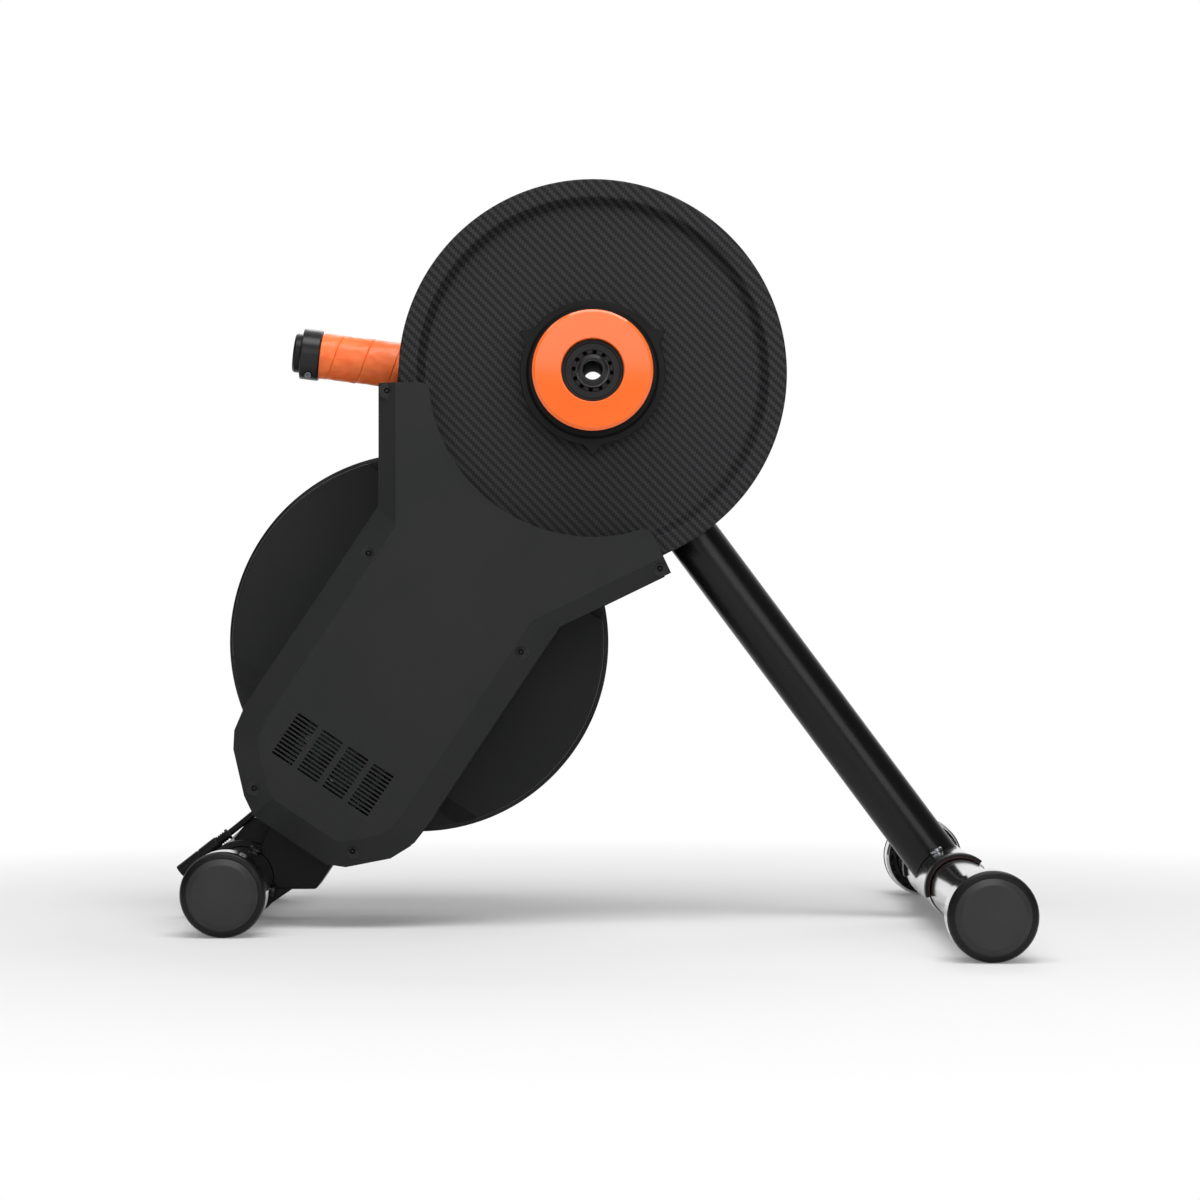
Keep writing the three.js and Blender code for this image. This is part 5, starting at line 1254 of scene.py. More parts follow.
def makeSmallPulley():
    w = wheel
    bore, near, far, rim = w["shaft"] + fit, w["smallNear"], w["smallFar"], w["small"]
    corners = [(bore, near, 0.3), (rim, near, 0.5), (rim, near + 2.7, 0.4)]
    for i in range(w["grooves"]):
        y = w["grooveFrom"] + i * w["groovePitch"]
        corners += [
            (w["grooveTop"], y - w["grooveHalf"]), (w["grooveFloor"], y),
            (w["grooveTop"], y + w["grooveHalf"])]
    corners += [(rim, far - 2.7, 0.4), (rim, far, 0.5), (bore, far, 0.3)]
    small = turned("smallPulley", corners, wheelPlace, sides=128, material=shaftSteel)
    finished(edged(small, 0), "flywheel_set", ["small_pulley"])


makeFlywheel()
makeFlywheelShaft()
makeSmallPulley()
makeBearings("wheel", wheelPlace)
print("flywheel ready")

# Flywheel shroud: a disc with one raised zone, a straight step at the hub side and a slope at the other
shroud = {
    "radius": 119.4, "raised": 65.0, "low": 72.5, "back": 75.0, "upper": 77.0, "lower": 72.0, "slope": 11.5,
    "hole": 25.0, "wall": 2.5, "edge": 1.6}


# The shroud's outer form, drawn in by a wall: a thick disc with both ends of its face cut lower
def shroudForm(wall, far, hole=0):
    s = shroud
    near, low, wide = s["raised"] + wall, s["low"] + wall, s["radius"] * 1.2
    edge = 0 if wall else s["edge"]
    form = turned("shroudForm", [
        (hole, near), (s["radius"] - wall, near, edge), (s["radius"] - wall, far), (hole, far)], wheelPlace,
        bool(hole), 256)
    start, end, over = -s["upper"] + wall, s["lower"] - wall, near - overlap
    hubStep = [(-wide, over), (start, over), (start, low), (-wide, low)]
    outerSlope = [(end - s["slope"] * 2 / 3, over), (wide, over), (wide, low), (end + s["slope"], low)]
    for profile in (hubStep, outerSlope):
        ends = []
        for side in (-wide, wide):
            spots = [(onBelt(layout["beltCentres"] + reach, side), y) for reach, y in profile]
            ends.append([(spot.x, y, spot.y) for spot, y in spots])
        combined(form, [tidied(pieceFrom("shroudCut", *loft(ends, True, True)))], "DIFFERENCE")
    return form


def makeShroud():
    s = shroud
    body = edged(tidied(shroudForm(0, s["back"], s["hole"]), 0.25), 0.9, 3, 25)
    combined(body, [shroudForm(s["wall"], s["back"] + 4)], "DIFFERENCE")
    body = edged(merged("flywheelShroud", [body], shroudAbs), 0, angle=28)
    finished(body, "stand", ["flywheel_shroud"])


makeShroud()

# Brake: laminated core with eight poles, a wound coil on each and a loom ring that ties them
brake = {
    "inner": 24.3, "ring": 52.0, "near": 79.5, "far": 91.5, "poles": 8, "poleWide": 14.0, "tip": 92.5,
    "shoe": 1.2, "shoeTall": 4.0, "coilFrom": 56.0, "coilTo": 80.0, "coilDeep": 18.0, "coilWide": 22.0,
    "coilCorner": 3.5, "wire": 1.6, "wireDip": 0.45, "loomInner": 52.3, "loomOuter": 59.0, "loomNear": 76.7,
    "loomFar": 79.2}


def makeBrakeCore():
    b = brake
    core = turned("brakeRing", [
        (b["inner"], b["near"], 0.5), (b["ring"], b["near"], 0.5), (b["ring"], b["far"], 0.5),
        (b["inner"], b["far"], 0.5)], wheelPlace, sides=128, material=coreSteel)
    half, tip, root = b["poleWide"] / 2, b["tip"], b["tip"] - b["shoeTall"]
    shoe = half + b["shoe"]
    side = [(b["ring"] - 4, half), (root, half), (root + 1, shoe), (tip - 0.6, shoe), (tip, half * 0.4)]
    outline = [(x, -z) for x, z in side] + side[::-1]
    ends = [[(x, y, z) for x, z in outline] for y in (b["near"] + 0.2, b["far"] - 0.2)]
    pole = edged(tidied(pieceFrom("pole", *loft(ends, True, True))), 0.4, 1, 40)
    poles = grown("poles", "copiesRoundAxis", {
        "Shape": pole, "Count": b["poles"], "Start": 0.0, "Centre": wheelCentre, "Finish": coreSteel})
    finished(
        merged("brakeCore", [edged(core, 0), poles], coreSteel), "stand", ["brake_core"])


# A rounded rectangle round the pole, one turn of the coil
def coilRing(x, deep, wide, corner):
    middle = (brake["near"] + brake["far"]) / 2
    ring = []
    for a, c in ((1, 1), (-1, 1), (-1, -1), (1, -1)):
        for step in range(6):
            turn = math.pi / 2 * step / 5
            dx, dy = (math.cos(turn), math.sin(turn)) if a * c > 0 else (math.sin(turn), math.cos(turn))
            ring.append((
                x, middle + c * (deep / 2 - corner + corner * dy), a * (wide / 2 - corner + corner * dx)))
    return ring


def makeBrakeCoils():
    b = brake
    rings = []
    steps = int((b["coilTo"] - b["coilFrom"]) / b["wire"]) * 4  # four rings of points for each turn of wire
    for i in range(steps + 1):
        x = b["coilFrom"] + (b["coilTo"] - b["coilFrom"]) * i / steps
        dip = 2 * b["wireDip"] * (1 - abs(math.sin(math.pi * i / 4)))
        rings.append(coilRing(x, b["coilDeep"] - dip, b["coilWide"] - dip, b["coilCorner"]))
    for x in (b["coilTo"], b["coilFrom"]):
        rings.append(coilRing(x, b["far"] - b["near"] + 2 * fit, b["poleWide"] + 2 * fit, 1.0))
    coil = edged(tidied(pieceFrom("coil", *loft(rings, wrap=True), coilWire)), 0, angle=50)
    coils = grown("coils", "copiesRoundAxis", {
        "Shape": coil, "Count": b["poles"], "Start": 0.0, "Centre": wheelCentre, "Finish": coilWire})
    loom = turned("loom", [
        (b["loomInner"], b["loomNear"], 0.6), (b["loomOuter"], b["loomNear"], 0.8),
        (b["loomOuter"], b["loomFar"], 0.6), (b["loomInner"], b["loomFar"], 0.6)], wheelPlace, sides=96,
        material=leadPvc)
    finished(merged("brakeCoils", [coils, edged(loom, 0)]), "stand", ["brake_coils"])


makeBrakeCore()
makeBrakeCoils()
print("shroud and brake ready")

# Control board behind the vents, with chips, capacitors and a plug header towards the cover
board = {
    "reach": 289.0, "side": 1.5, "long": 44.0, "wide": 58.0, "near": 12.0, "thick": 1.6, "sunk": 0.2,
    "screwInset": 5.0, "pins": 7, "pinPitch": 2.0, "pinSide": -24.0, "capacitorTall": 5.2,
    "capacitorRadius": 2.6}
chips = [  # along and across the belt line from the board's middle, then length, width and height
    (4, -4, 12, 12, 1.6), (-9, 12, 6, 9, 1.8), (12, 15, 5, 4, 1.4), (-12, -13, 7, 5, 1.6),
    (10, -19, 9, 6, 1.8), (-2, 22, 14, 5, 5.5)]
capacitors = [(-14, 2), (-14, 20), (13, 2)]
boardScrew = {"radius": 1.3, "head": 2.6, "tall": 1.6, "shank": 1.2}


# A block on the board; its place is measured from the board's middle
def boardBlock(name, reach, side, long, wide, near, far, material, edge=0.3):
    ring = [onBelt(board["reach"] + reach + a * long / 2, board["side"] + side + b * wide / 2)
            for a, b in ((-1, -1), (1, -1), (1, 1), (-1, 1))]
    return edged(hulled(name, [(ring, near), (ring, far)], material), edge, 2, 40)


def makeBoard():
    b = board
    face, foot = b["near"], b["near"] + b["sunk"]
    parts = [boardBlock(
        "boardPlate", 0, 0, b["long"], b["wide"], face, face + b["thick"], boardLacquer, 0.15)]
    for reach, side, long, wide, tall in chips:
        parts.append(boardBlock("chip", reach, side, long, wide, face - tall, foot, guardNylon))
    radius, tall = b["capacitorRadius"], b["capacitorTall"]
    for reach, side in capacitors:
        spot = onBelt(b["reach"] + reach, b["side"] + side)
        can = turned("capacitor", [
            (0, -tall), (radius - 0.2, -tall, 0.5), (radius, -tall + 0.6, 0.2), (radius, -0.6, 0.2),
            (radius - 0.4, -0.3, 0.1), (radius, 0.1), (0, 0.1)], (spot.x, face, spot.y), closed=False,
            sides=32, material=tubeChrome)
        parts.append(edged(can, 0))
    for i in range(b["pins"]):
        reach = (i - (b["pins"] - 1) / 2) * b["pinPitch"]
        parts.append(boardBlock("pin", reach, b["pinSide"], 0.7, 3.5, face - 0.8, foot, shaftSteel, 0.1))
    inset = b["screwInset"]
    heads = [onBelt(
        b["reach"] + a * (b["long"] / 2 - inset), b["side"] + c * (b["wide"] / 2 - inset))
        for a in (-1, 1) for c in (-1, 1)]
    spots = pieceFrom("boardScrews", [(p.x, face - 0.05, p.y) for p in heads], [])
    screw = socketScrew(boardScrew, shaftSteel)
    parts.append(grown("boardScrews", "copiesAtPoints", {"Shape": screw, "Finish": shaftSteel}, spots))
    finished(merged("controlBoard", parts), "stand", ["control_board"])


makeBoard()

# Belt, idler and its bolt
belt = {
    "near": -24.0, "far": -6.0, "large": 117.0, "small": 18.3, "thick": 3.0, "ribs": 6, "ribDeep": 1.3,
    "ribHalf": 0.9, "largeSteps": 150, "smallSteps": 40, "straightSteps": 24}
idler = {
    "radius": 14.0, "bore": 5.3, "near": -25.0, "far": -5.0, "share": 0.74, "race": 8.5, "seal": 9.0,
    "shell": 11.2, "boltRadius": 5.0, "thread": 3.0, "threadFar": 54.5, "boltFar": -4.0, "headNear": -29.0,
    "headSeat": -25.9, "headFlat": 6.45, "headCorner": 7.4}
beltSlant = math.asin((pulley["seat"] - layout["beltSmall"]) / layout["beltCentres"])
runOut = across * math.cos(beltSlant) + along * math.sin(beltSlant)
runDown = along * math.cos(beltSlant) - across * math.sin(beltSlant)


# The belt's inner face as places with their outward ways: two arcs and the straight runs between them
def beltLine():
    b = belt
    lean = math.asin((b["large"] - b["small"]) / layout["beltCentres"])

    def arc(centre, radius, start, sweep, steps):
        ways = []
        for i in range(steps + 1):
            turn = start + sweep * i / steps
            ways.append(across * math.cos(turn) + along * math.sin(turn))
        return [(centre + way * radius, way) for way in ways]

    def run(start, end):
        steps = b["straightSteps"]
        return [(start[0].lerp(end[0], i / steps), start[1]) for i in range(1, steps)]

    large = arc(hub, b["large"], math.pi - lean, math.pi + 2 * lean, b["largeSteps"])
    small = arc(wheelAxis, b["small"], lean, math.pi - 2 * lean, b["smallSteps"])
    return large + run(large[-1], small[0]) + small + run(small[-1], large[0])


def makeBelt():
    b = belt
    near, far, thick, deep = b["near"], b["far"], b["thick"], b["ribDeep"]
    pitch = (far - near) / b["ribs"]
    section = [(thick, near + 0.5), (thick - 0.5, near), (deep, near)]
    for i in range(b["ribs"]):
        y = near + i * pitch
        section += [(0.0, y + b["ribHalf"]), (0.0, y + pitch - b["ribHalf"]), (deep, y + pitch)]
    section += [(thick - 0.5, far), (thick, far - 0.5)]
    rings = [[(place.x + out.x * r, y, place.y + out.y * r) for r, y in section] for place, out in beltLine()]
    loop = edged(tidied(pieceFrom("driveBelt", *loft(rings, wrap=True), beltRubber)), 0, angle=30)
    finished(loop, "stand", ["drive_belt"])


def makeIdler():
    k = idler
    # From the hub's axis, over the belt's back
    backReach = pulley["seat"] + fit + belt["thick"] + k["radius"] + fit
    spot = hub + runDown * (layout["beltCentres"] * k["share"]) + runOut * backReach
    place = (spot.x, 0, spot.y)
    near, far, radius, shell, seal, race = k["near"], k["far"], k["radius"], k["shell"], k["seal"], k["race"]
    roller = turned("idlerPulley", [
        (k["bore"], near + 0.4, 0.3), (race, near + 0.4, 0.2), (seal, near + 1.4, 0.2),
        (shell, near + 1.4, 0.2), (shell + 0.4, near, 0.3), (radius, near, 0.8), (radius, far, 0.8),
        (shell + 0.4, far, 0.3), (shell, far - 1.4, 0.2), (seal, far - 1.4, 0.2), (race, far - 0.4, 0.2),
        (k["bore"], far - 0.4, 0.3)], place, sides=96, material=shaftSteel)
    finished(edged(roller, 0), "idler", ["idler_pulley"])
    corner, head, seat, flat = k["headCorner"], k["headNear"], k["headSeat"], k["headFlat"]
    rings = [hexRing(place, r, y, 72, f) for r, y, f in (
        (k["thread"], k["threadFar"], 0), (k["thread"], k["boltFar"] + fit, 0),
        (k["boltRadius"], k["boltFar"], 0), (k["boltRadius"], seat, 0), (corner - 0.8, seat, flat),
        (corner, seat - 0.2, flat), (corner, head + 0.6, flat), (corner - 1.2, head, 0))]
    bolt = edged(tidied(pieceFrom("idlerBolt", *loft(rings, True, True), shaftSteel)), 0, angle=28)
    finished(bolt, "stand", ["idler_bolt"])


makeBelt()
makeIdler()
print("drive ready")

# Front strut: an open tube, coped over the sleeve, and the bolt that holds it in its socket
strutBolt = {"radius": 2.9, "head": 5.0, "tall": 3.6, "shank": 14.0}


def makeStrut():
    k = strut
    start, end = k["socketReach"] - k["socketDepth"] + 1, strutLong
    tube = pointed("strutTube", strutAim, strutWay, k["radius"], start, end, 0.0, 128)
    inside = pointed("strutInside", strutAim, strutWay, k["radius"] - k["wall"], start - 9, end + 30)
    cope = rod("cope", k["cope"], 0, 90, frontBar.x, frontBar.y, 128)
    combined(tube, [inside, cope], "DIFFERENCE")
    tube = edged(merged("frontStrut", [tube], strutEnamel), 0, angle=35)
    finished(tube, "stand", ["front_strut"])
    spot = alongStrut(k["boltReach"])
    bolt = socketScrew(strutBolt, screwOxide)
    seat = Vector((spot.x, k["boltSeat"] + fit, spot.z)) * mm
    bolt.data.transform(Matrix.Translation(seat) @ Matrix.Rotation(math.pi, 4, "Z"))
    bolt.name = "strutBolt"
    finished(bolt, "stand", ["strut_bolt"])


makeStrut()

# Feet: two crossbars, the sleeve with its collars, end caps, polished bands and the rear block
foot = {
    "front": 18.3, "rear": 20.5, "wall": 2.0, "frontEnd": 223.7, "rearNear": -80.2, "rearFar": 180.2,
    "sleeve": 19.8, "sleeveNear": -32.7, "sleeveFar": 116.7, "frontHalf": 235.5, "rearCapNear": -92.0,
    "rearCapFar": 192.0}
collar = {
    "radius": 21.6, "wide": 10.0, "from": 52, "to": 195, "liner": 0.45, "linerSet": 0.9, "linerProud": 0.15}
cap = {
    "radius": 26.0, "long": 7.2, "plate": 21.8, "plateBevel": 3.6, "core": 23.6, "coreEnd": 28.3,
    "pockets": 20, "pocketFrom": 21.0, "pocketTo": 22.9, "pocketHalf": 2.2, "pocketDeep": 5.0}
band = {"radius": 25.7, "long": 22.3}
frontPlace, rearPlace = (frontBar.x, 0, frontBar.y), (rearBar.x, 0, rearBar.y)


# A polished tube that is open at both ends
def openTube(name, outer, inner, near, far, place, node, round=0.4):
    corners = [(inner, near, 0.3), (outer, near, round), (outer, far, round), (inner, far, 0.3)]
    tube = turned(name, corners, place, sides=160, material=tubeChrome)
    finished(edged(tube, 0), "stand", [node])


# A cap is a rounded cup with a bevelled plate in its face. Its core runs on inside the polished band,
# with a ring of square pockets
def makeCap(name, place, tip, side, body, node, bar):
    c = cap
    outer, plate, bore = c["radius"], c["plate"], bar + 0.4

    def at(depth):
        return tip - side * depth

    # Painted shade: the cup takes the darker rubber round the greyer plate
    cup = turned(name, [
        (0, at(3.2)), (plate - 0.2, at(3.2)), (plate + 0.6, at(2.9), 0.4), (outer - 0.9, at(4.3), 2.4),
        (outer, at(6.4), 0.8), (outer, at(c["long"]), 0.3), (0, at(c["long"]))], place, closed=False,
        sides=192, material=capRubber)
    root, end = at(c["long"] - 0.5), at(c["coreEnd"])
    core = turned(
        "capCore", [(bore, root), (c["core"], root), (c["core"], end, 0.3), (bore, end, 0.3)], place,
        sides=160, material=capRubber)
    near, far, half = c["pocketFrom"], c["pocketTo"], c["pocketHalf"]
    square = [(near, -half), (far, -half), (far, half), (near, half)]
    pocket = hulled(
        "pocket", [(square, y) for y in (at(c["coreEnd"] - c["pocketDeep"]), at(c["coreEnd"] + 2))])
    pockets = grown("pockets", "copiesRoundAxis", {
        "Shape": pocket, "Count": c["pockets"], "Start": 0.0, "Centre": [v * mm for v in place],
        "Finish": capRubber})
    combined(core, [pockets], "DIFFERENCE")
    disc = turned("capPlate", [
        (0, at(0.0)), (plate - c["plateBevel"], at(0.0), 1.2), (plate, at(3.0), 0.2),
        (plate - 0.1, at(3.3)), (0, at(3.3))], place, closed=False, sides=160, material=capPlate)
    finished(merged(name, [edged(cup, 0), edged(core, 0), edged(disc, 0)]), body, [node])


# The band is a thin polished shell round the cap's core
def makeBand(name, place, start, side, body, node):
    outer, inner = band["radius"], cap["core"] + 0.2
    root, end = start + side * fit, start + side * band["long"]
    shell = turned(name, [
        (inner, root, 0.2), (outer, root, 0.5), (outer, end - side * 2.0, 1.5), (outer - 1.2, end, 0.4),
        (inner, end, 0.3)], place, sides=192, material=tubeChrome)
    finished(edged(shell, 0), body, [node])


# A collar hugs the tube on the strut's side only, over a thin red-brown liner that shows as a line
def makeCollar(name, near, node):
    k = collar
    far, bore, outer = near + k["wide"], foot["front"] + fit, k["radius"]
    shell = turned(
        name, [(bore, near, 0.3), (outer, near, 1.2), (outer, far, 1.2), (bore, far, 0.3)], frontPlace,
        sides=160, material=guardNylon)
    inner, tip = foot["front"] + k["linerSet"], near - k["linerProud"]
    liner = turned("liner", [
        (inner, tip), (inner + k["liner"], tip), (inner + k["liner"], near + 1), (inner, near + 1)],
        frontPlace, sides=160, material=linerRubber)
    turns = [math.radians(k["from"] + (k["to"] - k["from"]) * i / 6) for i in range(7)]
    wedge = [frontBar] + [frontBar + Vector((math.cos(turn), math.sin(turn))) * 60 for turn in turns]
    for piece in (shell, liner):
        combined(piece, [hulled("wedge", [(wedge, near - overlap), (wedge, far + overlap)])], "INTERSECT")
    finished(merged(name, [edged(shell, 0), edged(liner, 0)]), "stand", [node])


def makeTubes():
    f = foot
    front, rear, wall, end = f["front"], f["rear"], f["wall"], f["frontEnd"]
    openTube("frontCrossbar", front, front - wall, -end, end, frontPlace, "front_crossbar")
    openTube("rearCrossbar", rear, rear - wall, f["rearNear"], f["rearFar"], rearPlace, "rear_crossbar")
    openTube(
        "frontSleeve", f["sleeve"], front + fit, f["sleeveNear"], f["sleeveFar"], frontPlace,
        "front_sleeve", 0.8)
    makeCollar("sleeveCollarNear", f["sleeveNear"] - fit - collar["wide"], "sleeve_collar_near")
    makeCollar("sleeveCollarFar", f["sleeveFar"] + fit, "sleeve_collar_far")


def makeEnds():
    f = foot
    ends = [
        ("front", "Near", frontPlace, -f["frontHalf"], -1, "near_foot"),
        ("rear", "Near", rearPlace, f["rearCapNear"], -1, "stand"),
        ("front", "Far", frontPlace, f["frontHalf"], 1, "far_foot"),
        ("rear", "Far", rearPlace, f["rearCapFar"], 1, "stand")]
    for bar, end, place, tip, side, body in ends:
        makeCap(f"{bar}Cap{end}", place, tip, side, body, f"{bar}_cap_{end.lower()}", f[bar])
        makeBand(f"{bar}Band{end}", place, tip - side * cap["long"], -side, body, f"{bar}_band_{end.lower()}")


tubeScrew = {"radius": 1.8, "head": 4.0, "tall": 2.0, "shank": 2.5}


# A screw whose head sits on a tube and whose shank points at the tube's axis
def radialScrew(name, place, tube, turn, y, node, metal):
    screw = socketScrew(tubeScrew, metal)
    way = Vector((math.cos(math.radians(turn)), 0, math.sin(math.radians(turn))))
    toWay(screw, Vector((place[0], y, place[2])) + way * (tube + fit), -way)
    screw.name = name
    finished(screw, "stand", [node])


footBlock = {
    "near": 30.0, "far": 70.0, "top": 344.1, "topFrom": -13.5, "topTo": 34.5, "saddle": 24.4, "bore": 20.8,
    "nose": ((-168.0, 34.0), (-176.7, 19.5)), "foot": 19.5,
    "cheek": ((-219.6, 64.2), (-204.0, 64.2), (-210.0, 40.0), (-228.0, 44.0), (-230.0, 50.6)),
    "cheekNear": 40.5, "cheekFar": 66.3,
    "toe": ((-191.5, 19.8), (-204.5, 10.9), (-214.0, 10.4), (-210.0, 24.0), (-194.0, 24.0)),
    "toeInset": 1.7}


# The rear block: a wedge under the tray, a saddle round the crossbar, a cheek behind and a toe in front
def makeFootBlock():
    k = footBlock
    near, far = k["near"], k["far"]
    ring = [onBelt(k["top"], k["topFrom"]), onBelt(k["top"], k["topTo"]), *(Vector(p) for p in k["nose"]),
            Vector((rearBar.x, k["foot"]))]
    block = edged(hulled("footBlock", [(ring, near), (ring, far)]), 1.6, 3, 30)
    saddle = rod("saddle", k["saddle"], near + fit, far - fit, rearBar.x, rearBar.y, 128)
    cheek = hulled("cheek", [(k["cheek"], k["cheekNear"]), (k["cheek"], k["cheekFar"])])
    toe = hulled("toe", [(k["toe"], near + k["toeInset"]), (k["toe"], far - k["toeInset"])])
    combined(block, [saddle, edged(cheek, 0.9), edged(toe, 0.9)], "UNION")
    combined(block, [rod("saddleBore", k["bore"], 20, 80, rearBar.x, rearBar.y, 120)], "DIFFERENCE")
    block = edged(merged("rearFootBlock", [block], framePowder), 0, angle=30)
    finished(block, "stand", ["rear_foot_block"])


makeTubes()
makeEnds()
radialScrew("saddleBolt", frontPlace, foot["sleeve"], turn=116, y=20.5, node="saddle_bolt", metal=shaftSteel)
for number, turn in ((1, 64), (2, -18)):
    radialScrew(
        f"rearFootBolt{number}", rearPlace, foot["rear"], turn=turn, y=24.0,
        node=f"rear_foot_bolt_{number}", metal=screwOxide)
makeFootBlock()
print("feet ready")

# Carrying handle: bar, wound tape, a split clamp with its screw, and a plug
tapeEnd = handle["reach"] - handle["plugLength"] - handle["clampLength"] - fit
clampEnd = tapeEnd + fit + handle["clampLength"]
clampScrew = {"radius": 1.3, "head": 2.2, "tall": 2.4, "shank": 17.0}


def onHandle(name, corners, closed, material, sides=128):
    return toWay(turned(name, corners, closed=closed, sides=sides, material=material), handleRoot, handleWay)


def makeBar():
    h = handle
    start, end = h["barStart"], h["reach"] - h["plugLength"] - fit
    bar = onHandle("handleBar", [
        (h["bore"], start, 0.3), (h["bar"], start, 0.4), (h["bar"], end, 0.4), (h["bore"], end, 0.3)], True,
        shaftSteel)
    finished(edged(bar, 0), "stand", ["handle_bar"])


def makeTape():
    h = handle
    wound = grown("handleTape", "woundTape", {
        "Radius": h["tape"] * mm, "Start": h["tapeStart"] * mm, "End": tapeEnd * mm,
        "Pitch": h["tapePitch"] * mm, "Step": h["tapeStep"] * mm, "Phase": h["tapePhase"],
        "Bulge": h["tapeBulge"] * mm, "Finish": tapeFoam})
    middle, bore = (h["tapeStart"] + 5) * mm, (h["bar"] + 0.4) * mm
    bm = bmesh.new()
    bm.from_mesh(wound.data)
    for near in (True, False):  # each open end draws in to the bar, and the two are joined along it
        edge = [e for e in bm.edges if len(e.link_faces) == 1 and (e.verts[0].co.y < middle) == near]
        drawn = bmesh.ops.extrude_edge_only(bm, edges=edge)["geom"]
        for v in [v for v in drawn if isinstance(v, bmesh.types.BMVert)]:
            reach = math.hypot(v.co.x, v.co.z)
            v.co.x, v.co.z = v.co.x / reach * bore, v.co.z / reach * bore
    bmesh.ops.bridge_loops(bm, edges=[e for e in bm.edges if len(e.link_faces) == 1])
    bmesh.ops.recalc_face_normals(bm, faces=bm.faces)
    bm.to_mesh(wound.data)
    bm.free()
    toWay(wound, handleRoot, handleWay)
    finished(edged(wound, 0, angle=60), "stand", ["handle_tape"])


def makeClamp():
    h = handle
    bore, outer, start, end = h["bar"] + fit, h["clamp"], tapeEnd + fit, clampEnd
    ring = onHandle("handleClamp", [
        (bore, start, 0.3), (outer, start, 0.9), (outer, end, 0.9), (bore, end, 0.3)], True, ringAnodised,
        160)
    down = Vector((-handleWay.z, 0, handleWay.x))
    middle = handleRoot + handleWay * ((start + end) / 2)
    ends = [[
        middle + handleWay * a * 8 + down * reach + Vector((0, b * h["slitHalf"], 0))
        for a, b in ((-1, -1), (1, -1), (1, 1), (-1, 1))] for reach in (h["bar"] - 2, outer + 2)]
    slit = tidied(pieceFrom("slit", *loft(ends, True, True)))
    spot = middle + down * ((h["bar"] + outer) / 2)
    hole = rod("screwHole", h["screwBore"], 0, 60, spot.x, spot.z, 36)
    seat = rod("screwSeat", h["screwSeat"], 0, h["plane"] - h["screwFrom"], spot.x, spot.z, 36)
    combined(ring, [slit, hole, seat], "DIFFERENCE")
    ring = edged(merged("handleClamp", [ring], ringAnodised), 0, angle=35)
    finished(ring, "stand", ["handle_clamp"])
    screw = socketScrew(clampScrew, coreSteel)
    screw.data.transform(Matrix.Translation(Vector((spot.x, h["plane"] - h["screwFrom"] - fit, spot.z)) * mm))
    screw.name = "clampScrew"
    finished(screw, "stand", ["clamp_screw"])


def makePlug():
    h = handle
    start, end, spigot, rim = h["reach"] - h["plugLength"] + fit, h["reach"], h["bore"] - 0.4, h["plug"]
    plug = onHandle("handlePlug", [
        (0, start - 5), (spigot - 0.8, start - 5, 0.5), (spigot, start - 3.5), (spigot, start),
        (rim, start, 0.3), (rim, end - 1.4, 0.4), (rim - 0.9, end - 0.1, 0.6), (0, end)], False, capRubber)
    finished(edged(plug, 0), "stand", ["handle_plug"])


makeBar()
makeTape()
makeClamp()
makePlug()
print("handle ready")

# Stage: a pale floor that keeps the shadow and clears to white round it, a white world and five soft lamps
stage = {
    "floorSide": 14.0, "floorTone": "#dedede", "lift": 0.1, "clearFrom": 0.32, "clearTo": 0.75,
    "worldLight": 0.3, "flag": 0.15, "behindFrom": -0.1, "behindTo": 0.35, "besideFrom": 0.4,
    "besideTo": 0.8, "aim": (0.0, 0.0, 0.2)}
lamps = [
    {"name": "key", "place": (0.1, -0.6, 1.6), "size": (1.2, 0.7), "power": 16.0},
    {"name": "front", "place": (0.0, -2.7, 1.078), "size": (2.4, 1.2), "power": 16.0},
    {"name": "side", "place": (-0.9, -0.6, 1.6), "size": (0.5, 0.8), "power": 3.0},
    {"name": "strip", "place": (1.05, -1.7, 0.74), "size": (0.8, 1.2), "power": 6.0},
    {"name": "back", "place": (0.3, 1.6, 1.5), "size": (1.4, 0.8), "power": 10.0}]


# 1 where the camera, a mirror or clear stuff looks, 0 where light is only gathered
def seenRays(tree):
    rays = put(tree, "ShaderNodeLightPath")
    first = put(tree, "ShaderNodeMath", {
        0: rays.outputs["Is Camera Ray"], 1: rays.outputs["Is Glossy Ray"]}, operation="MAXIMUM")
    every = put(tree, "ShaderNodeMath", {
        0: first.outputs[0], 1: rays.outputs["Is Transmission Ray"]}, operation="MAXIMUM")
    return every.outputs[0]


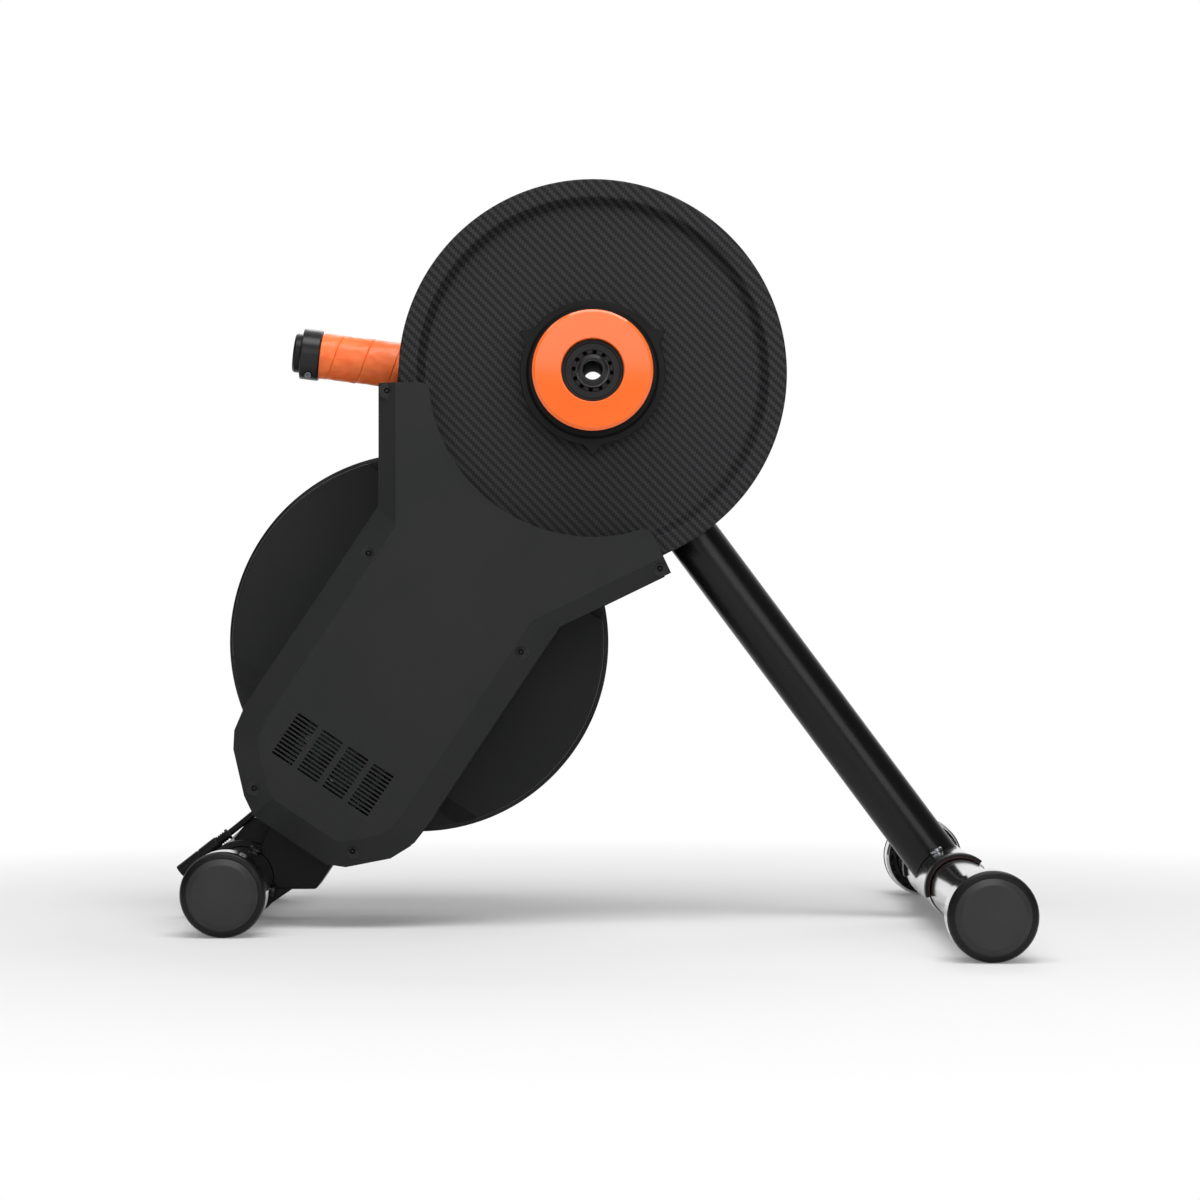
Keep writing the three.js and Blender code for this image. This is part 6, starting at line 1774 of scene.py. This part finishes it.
def makeFloor():
    half = stage["floorSide"] / 2 / mm
    floor = pieceFrom(
        "floor", [(-half, -half, 0), (half, -half, 0), (half, half, 0), (-half, half, 0)], [(0, 1, 2, 3)])
    material = bpy.data.materials.new("paleFloor")
    material.use_nodes = True
    tree = material.node_tree
    tree.nodes.clear()
    output = put(tree, "ShaderNodeOutputMaterial")
    diffuse = put(tree, "ShaderNodeBsdfDiffuse", {"Color": linear(stage["floorTone"])})
    share = put(tree, "ShaderNodeMath", {0: seenRays(tree), 1: stage["lift"]}, operation="MULTIPLY")
    glow = put(tree, "ShaderNodeEmission", {"Color": linear("#ffffff"), "Strength": share.outputs[0]})
    both = put(tree, "ShaderNodeAddShader", {0: diffuse.outputs[0], 1: glow.outputs[0]})
    place = put(tree, "ShaderNodeTexCoord").outputs["Object"]
    away = put(tree, "ShaderNodeVectorMath", {0: place}, operation="LENGTH")
    clear = put(tree, "ShaderNodeMapRange", {
        "Value": away.outputs["Value"], "From Min": stage["clearFrom"], "From Max": stage["clearTo"]})
    seenClear = put(tree, "ShaderNodeMath", {
        0: clear.outputs["Result"], 1: seenRays(tree)}, operation="MULTIPLY")
    white = put(tree, "ShaderNodeEmission", {"Color": linear("#ffffff"), "Strength": 1.0})
    shown = put(tree, "ShaderNodeMixShader", {
        0: seenClear.outputs[0], 1: both.outputs[0], 2: white.outputs[0]})
    tree.links.new(shown.outputs[0], output.inputs["Surface"])
    floor.data.materials.append(material)


# The camera sees white all round; a mirror sees white behind the object and a darker studio beside and
# before it, which gives black edges their depth
def makeWorld():
    s = stage
    world = bpy.data.worlds.new("studio")
    scene.world = world
    world.use_nodes = True
    tree = world.node_tree
    tree.nodes.clear()
    output = put(tree, "ShaderNodeOutputWorld")
    way = put(tree, "ShaderNodeSeparateXYZ", {"Vector": put(tree, "ShaderNodeTexCoord").outputs["Generated"]})
    behind = put(tree, "ShaderNodeMapRange", {
        "Value": way.outputs["Y"], "From Min": s["behindFrom"], "From Max": s["behindTo"],
        "To Min": s["flag"], "To Max": 1.0})
    sideways = put(tree, "ShaderNodeMath", {0: way.outputs["X"]}, operation="ABSOLUTE")
    beside = put(tree, "ShaderNodeMapRange", {
        "Value": sideways.outputs[0], "From Min": s["besideFrom"], "From Max": s["besideTo"], "To Min": 1.0,
        "To Max": s["flag"]})
    studio = put(tree, "ShaderNodeMath", {
        0: behind.outputs["Result"], 1: beside.outputs["Result"]}, operation="MINIMUM")
    rays = put(tree, "ShaderNodeLightPath")
    backdrop = put(tree, "ShaderNodeMath", {
        0: rays.outputs["Is Camera Ray"], 1: studio.outputs[0]}, operation="MAXIMUM")
    level = put(tree, "ShaderNodeMix", {
        0: seenRays(tree), 2: s["worldLight"], 3: backdrop.outputs[0]}, data_type="FLOAT")
    sky = put(tree, "ShaderNodeBackground", {"Color": linear("#ffffff"), "Strength": level.outputs[0]})
    tree.links.new(sky.outputs[0], output.inputs["Surface"])


def makeLamps():
    for lamp in lamps:
        data = bpy.data.lights.new(lamp["name"], "AREA")
        data.shape = "RECTANGLE"
        data.size, data.size_y = lamp["size"]
        data.energy = lamp["power"]
        light = bpy.data.objects.new(lamp["name"], data)
        light.location = lamp["place"]
        aim = Vector(stage["aim"]) - Vector(lamp["place"])
        light.rotation_euler = aim.to_track_quat("-Z", "Y").to_euler()
        scene.collection.objects.link(light)


makeFloor()
makeWorld()
makeLamps()
print("stage ready")
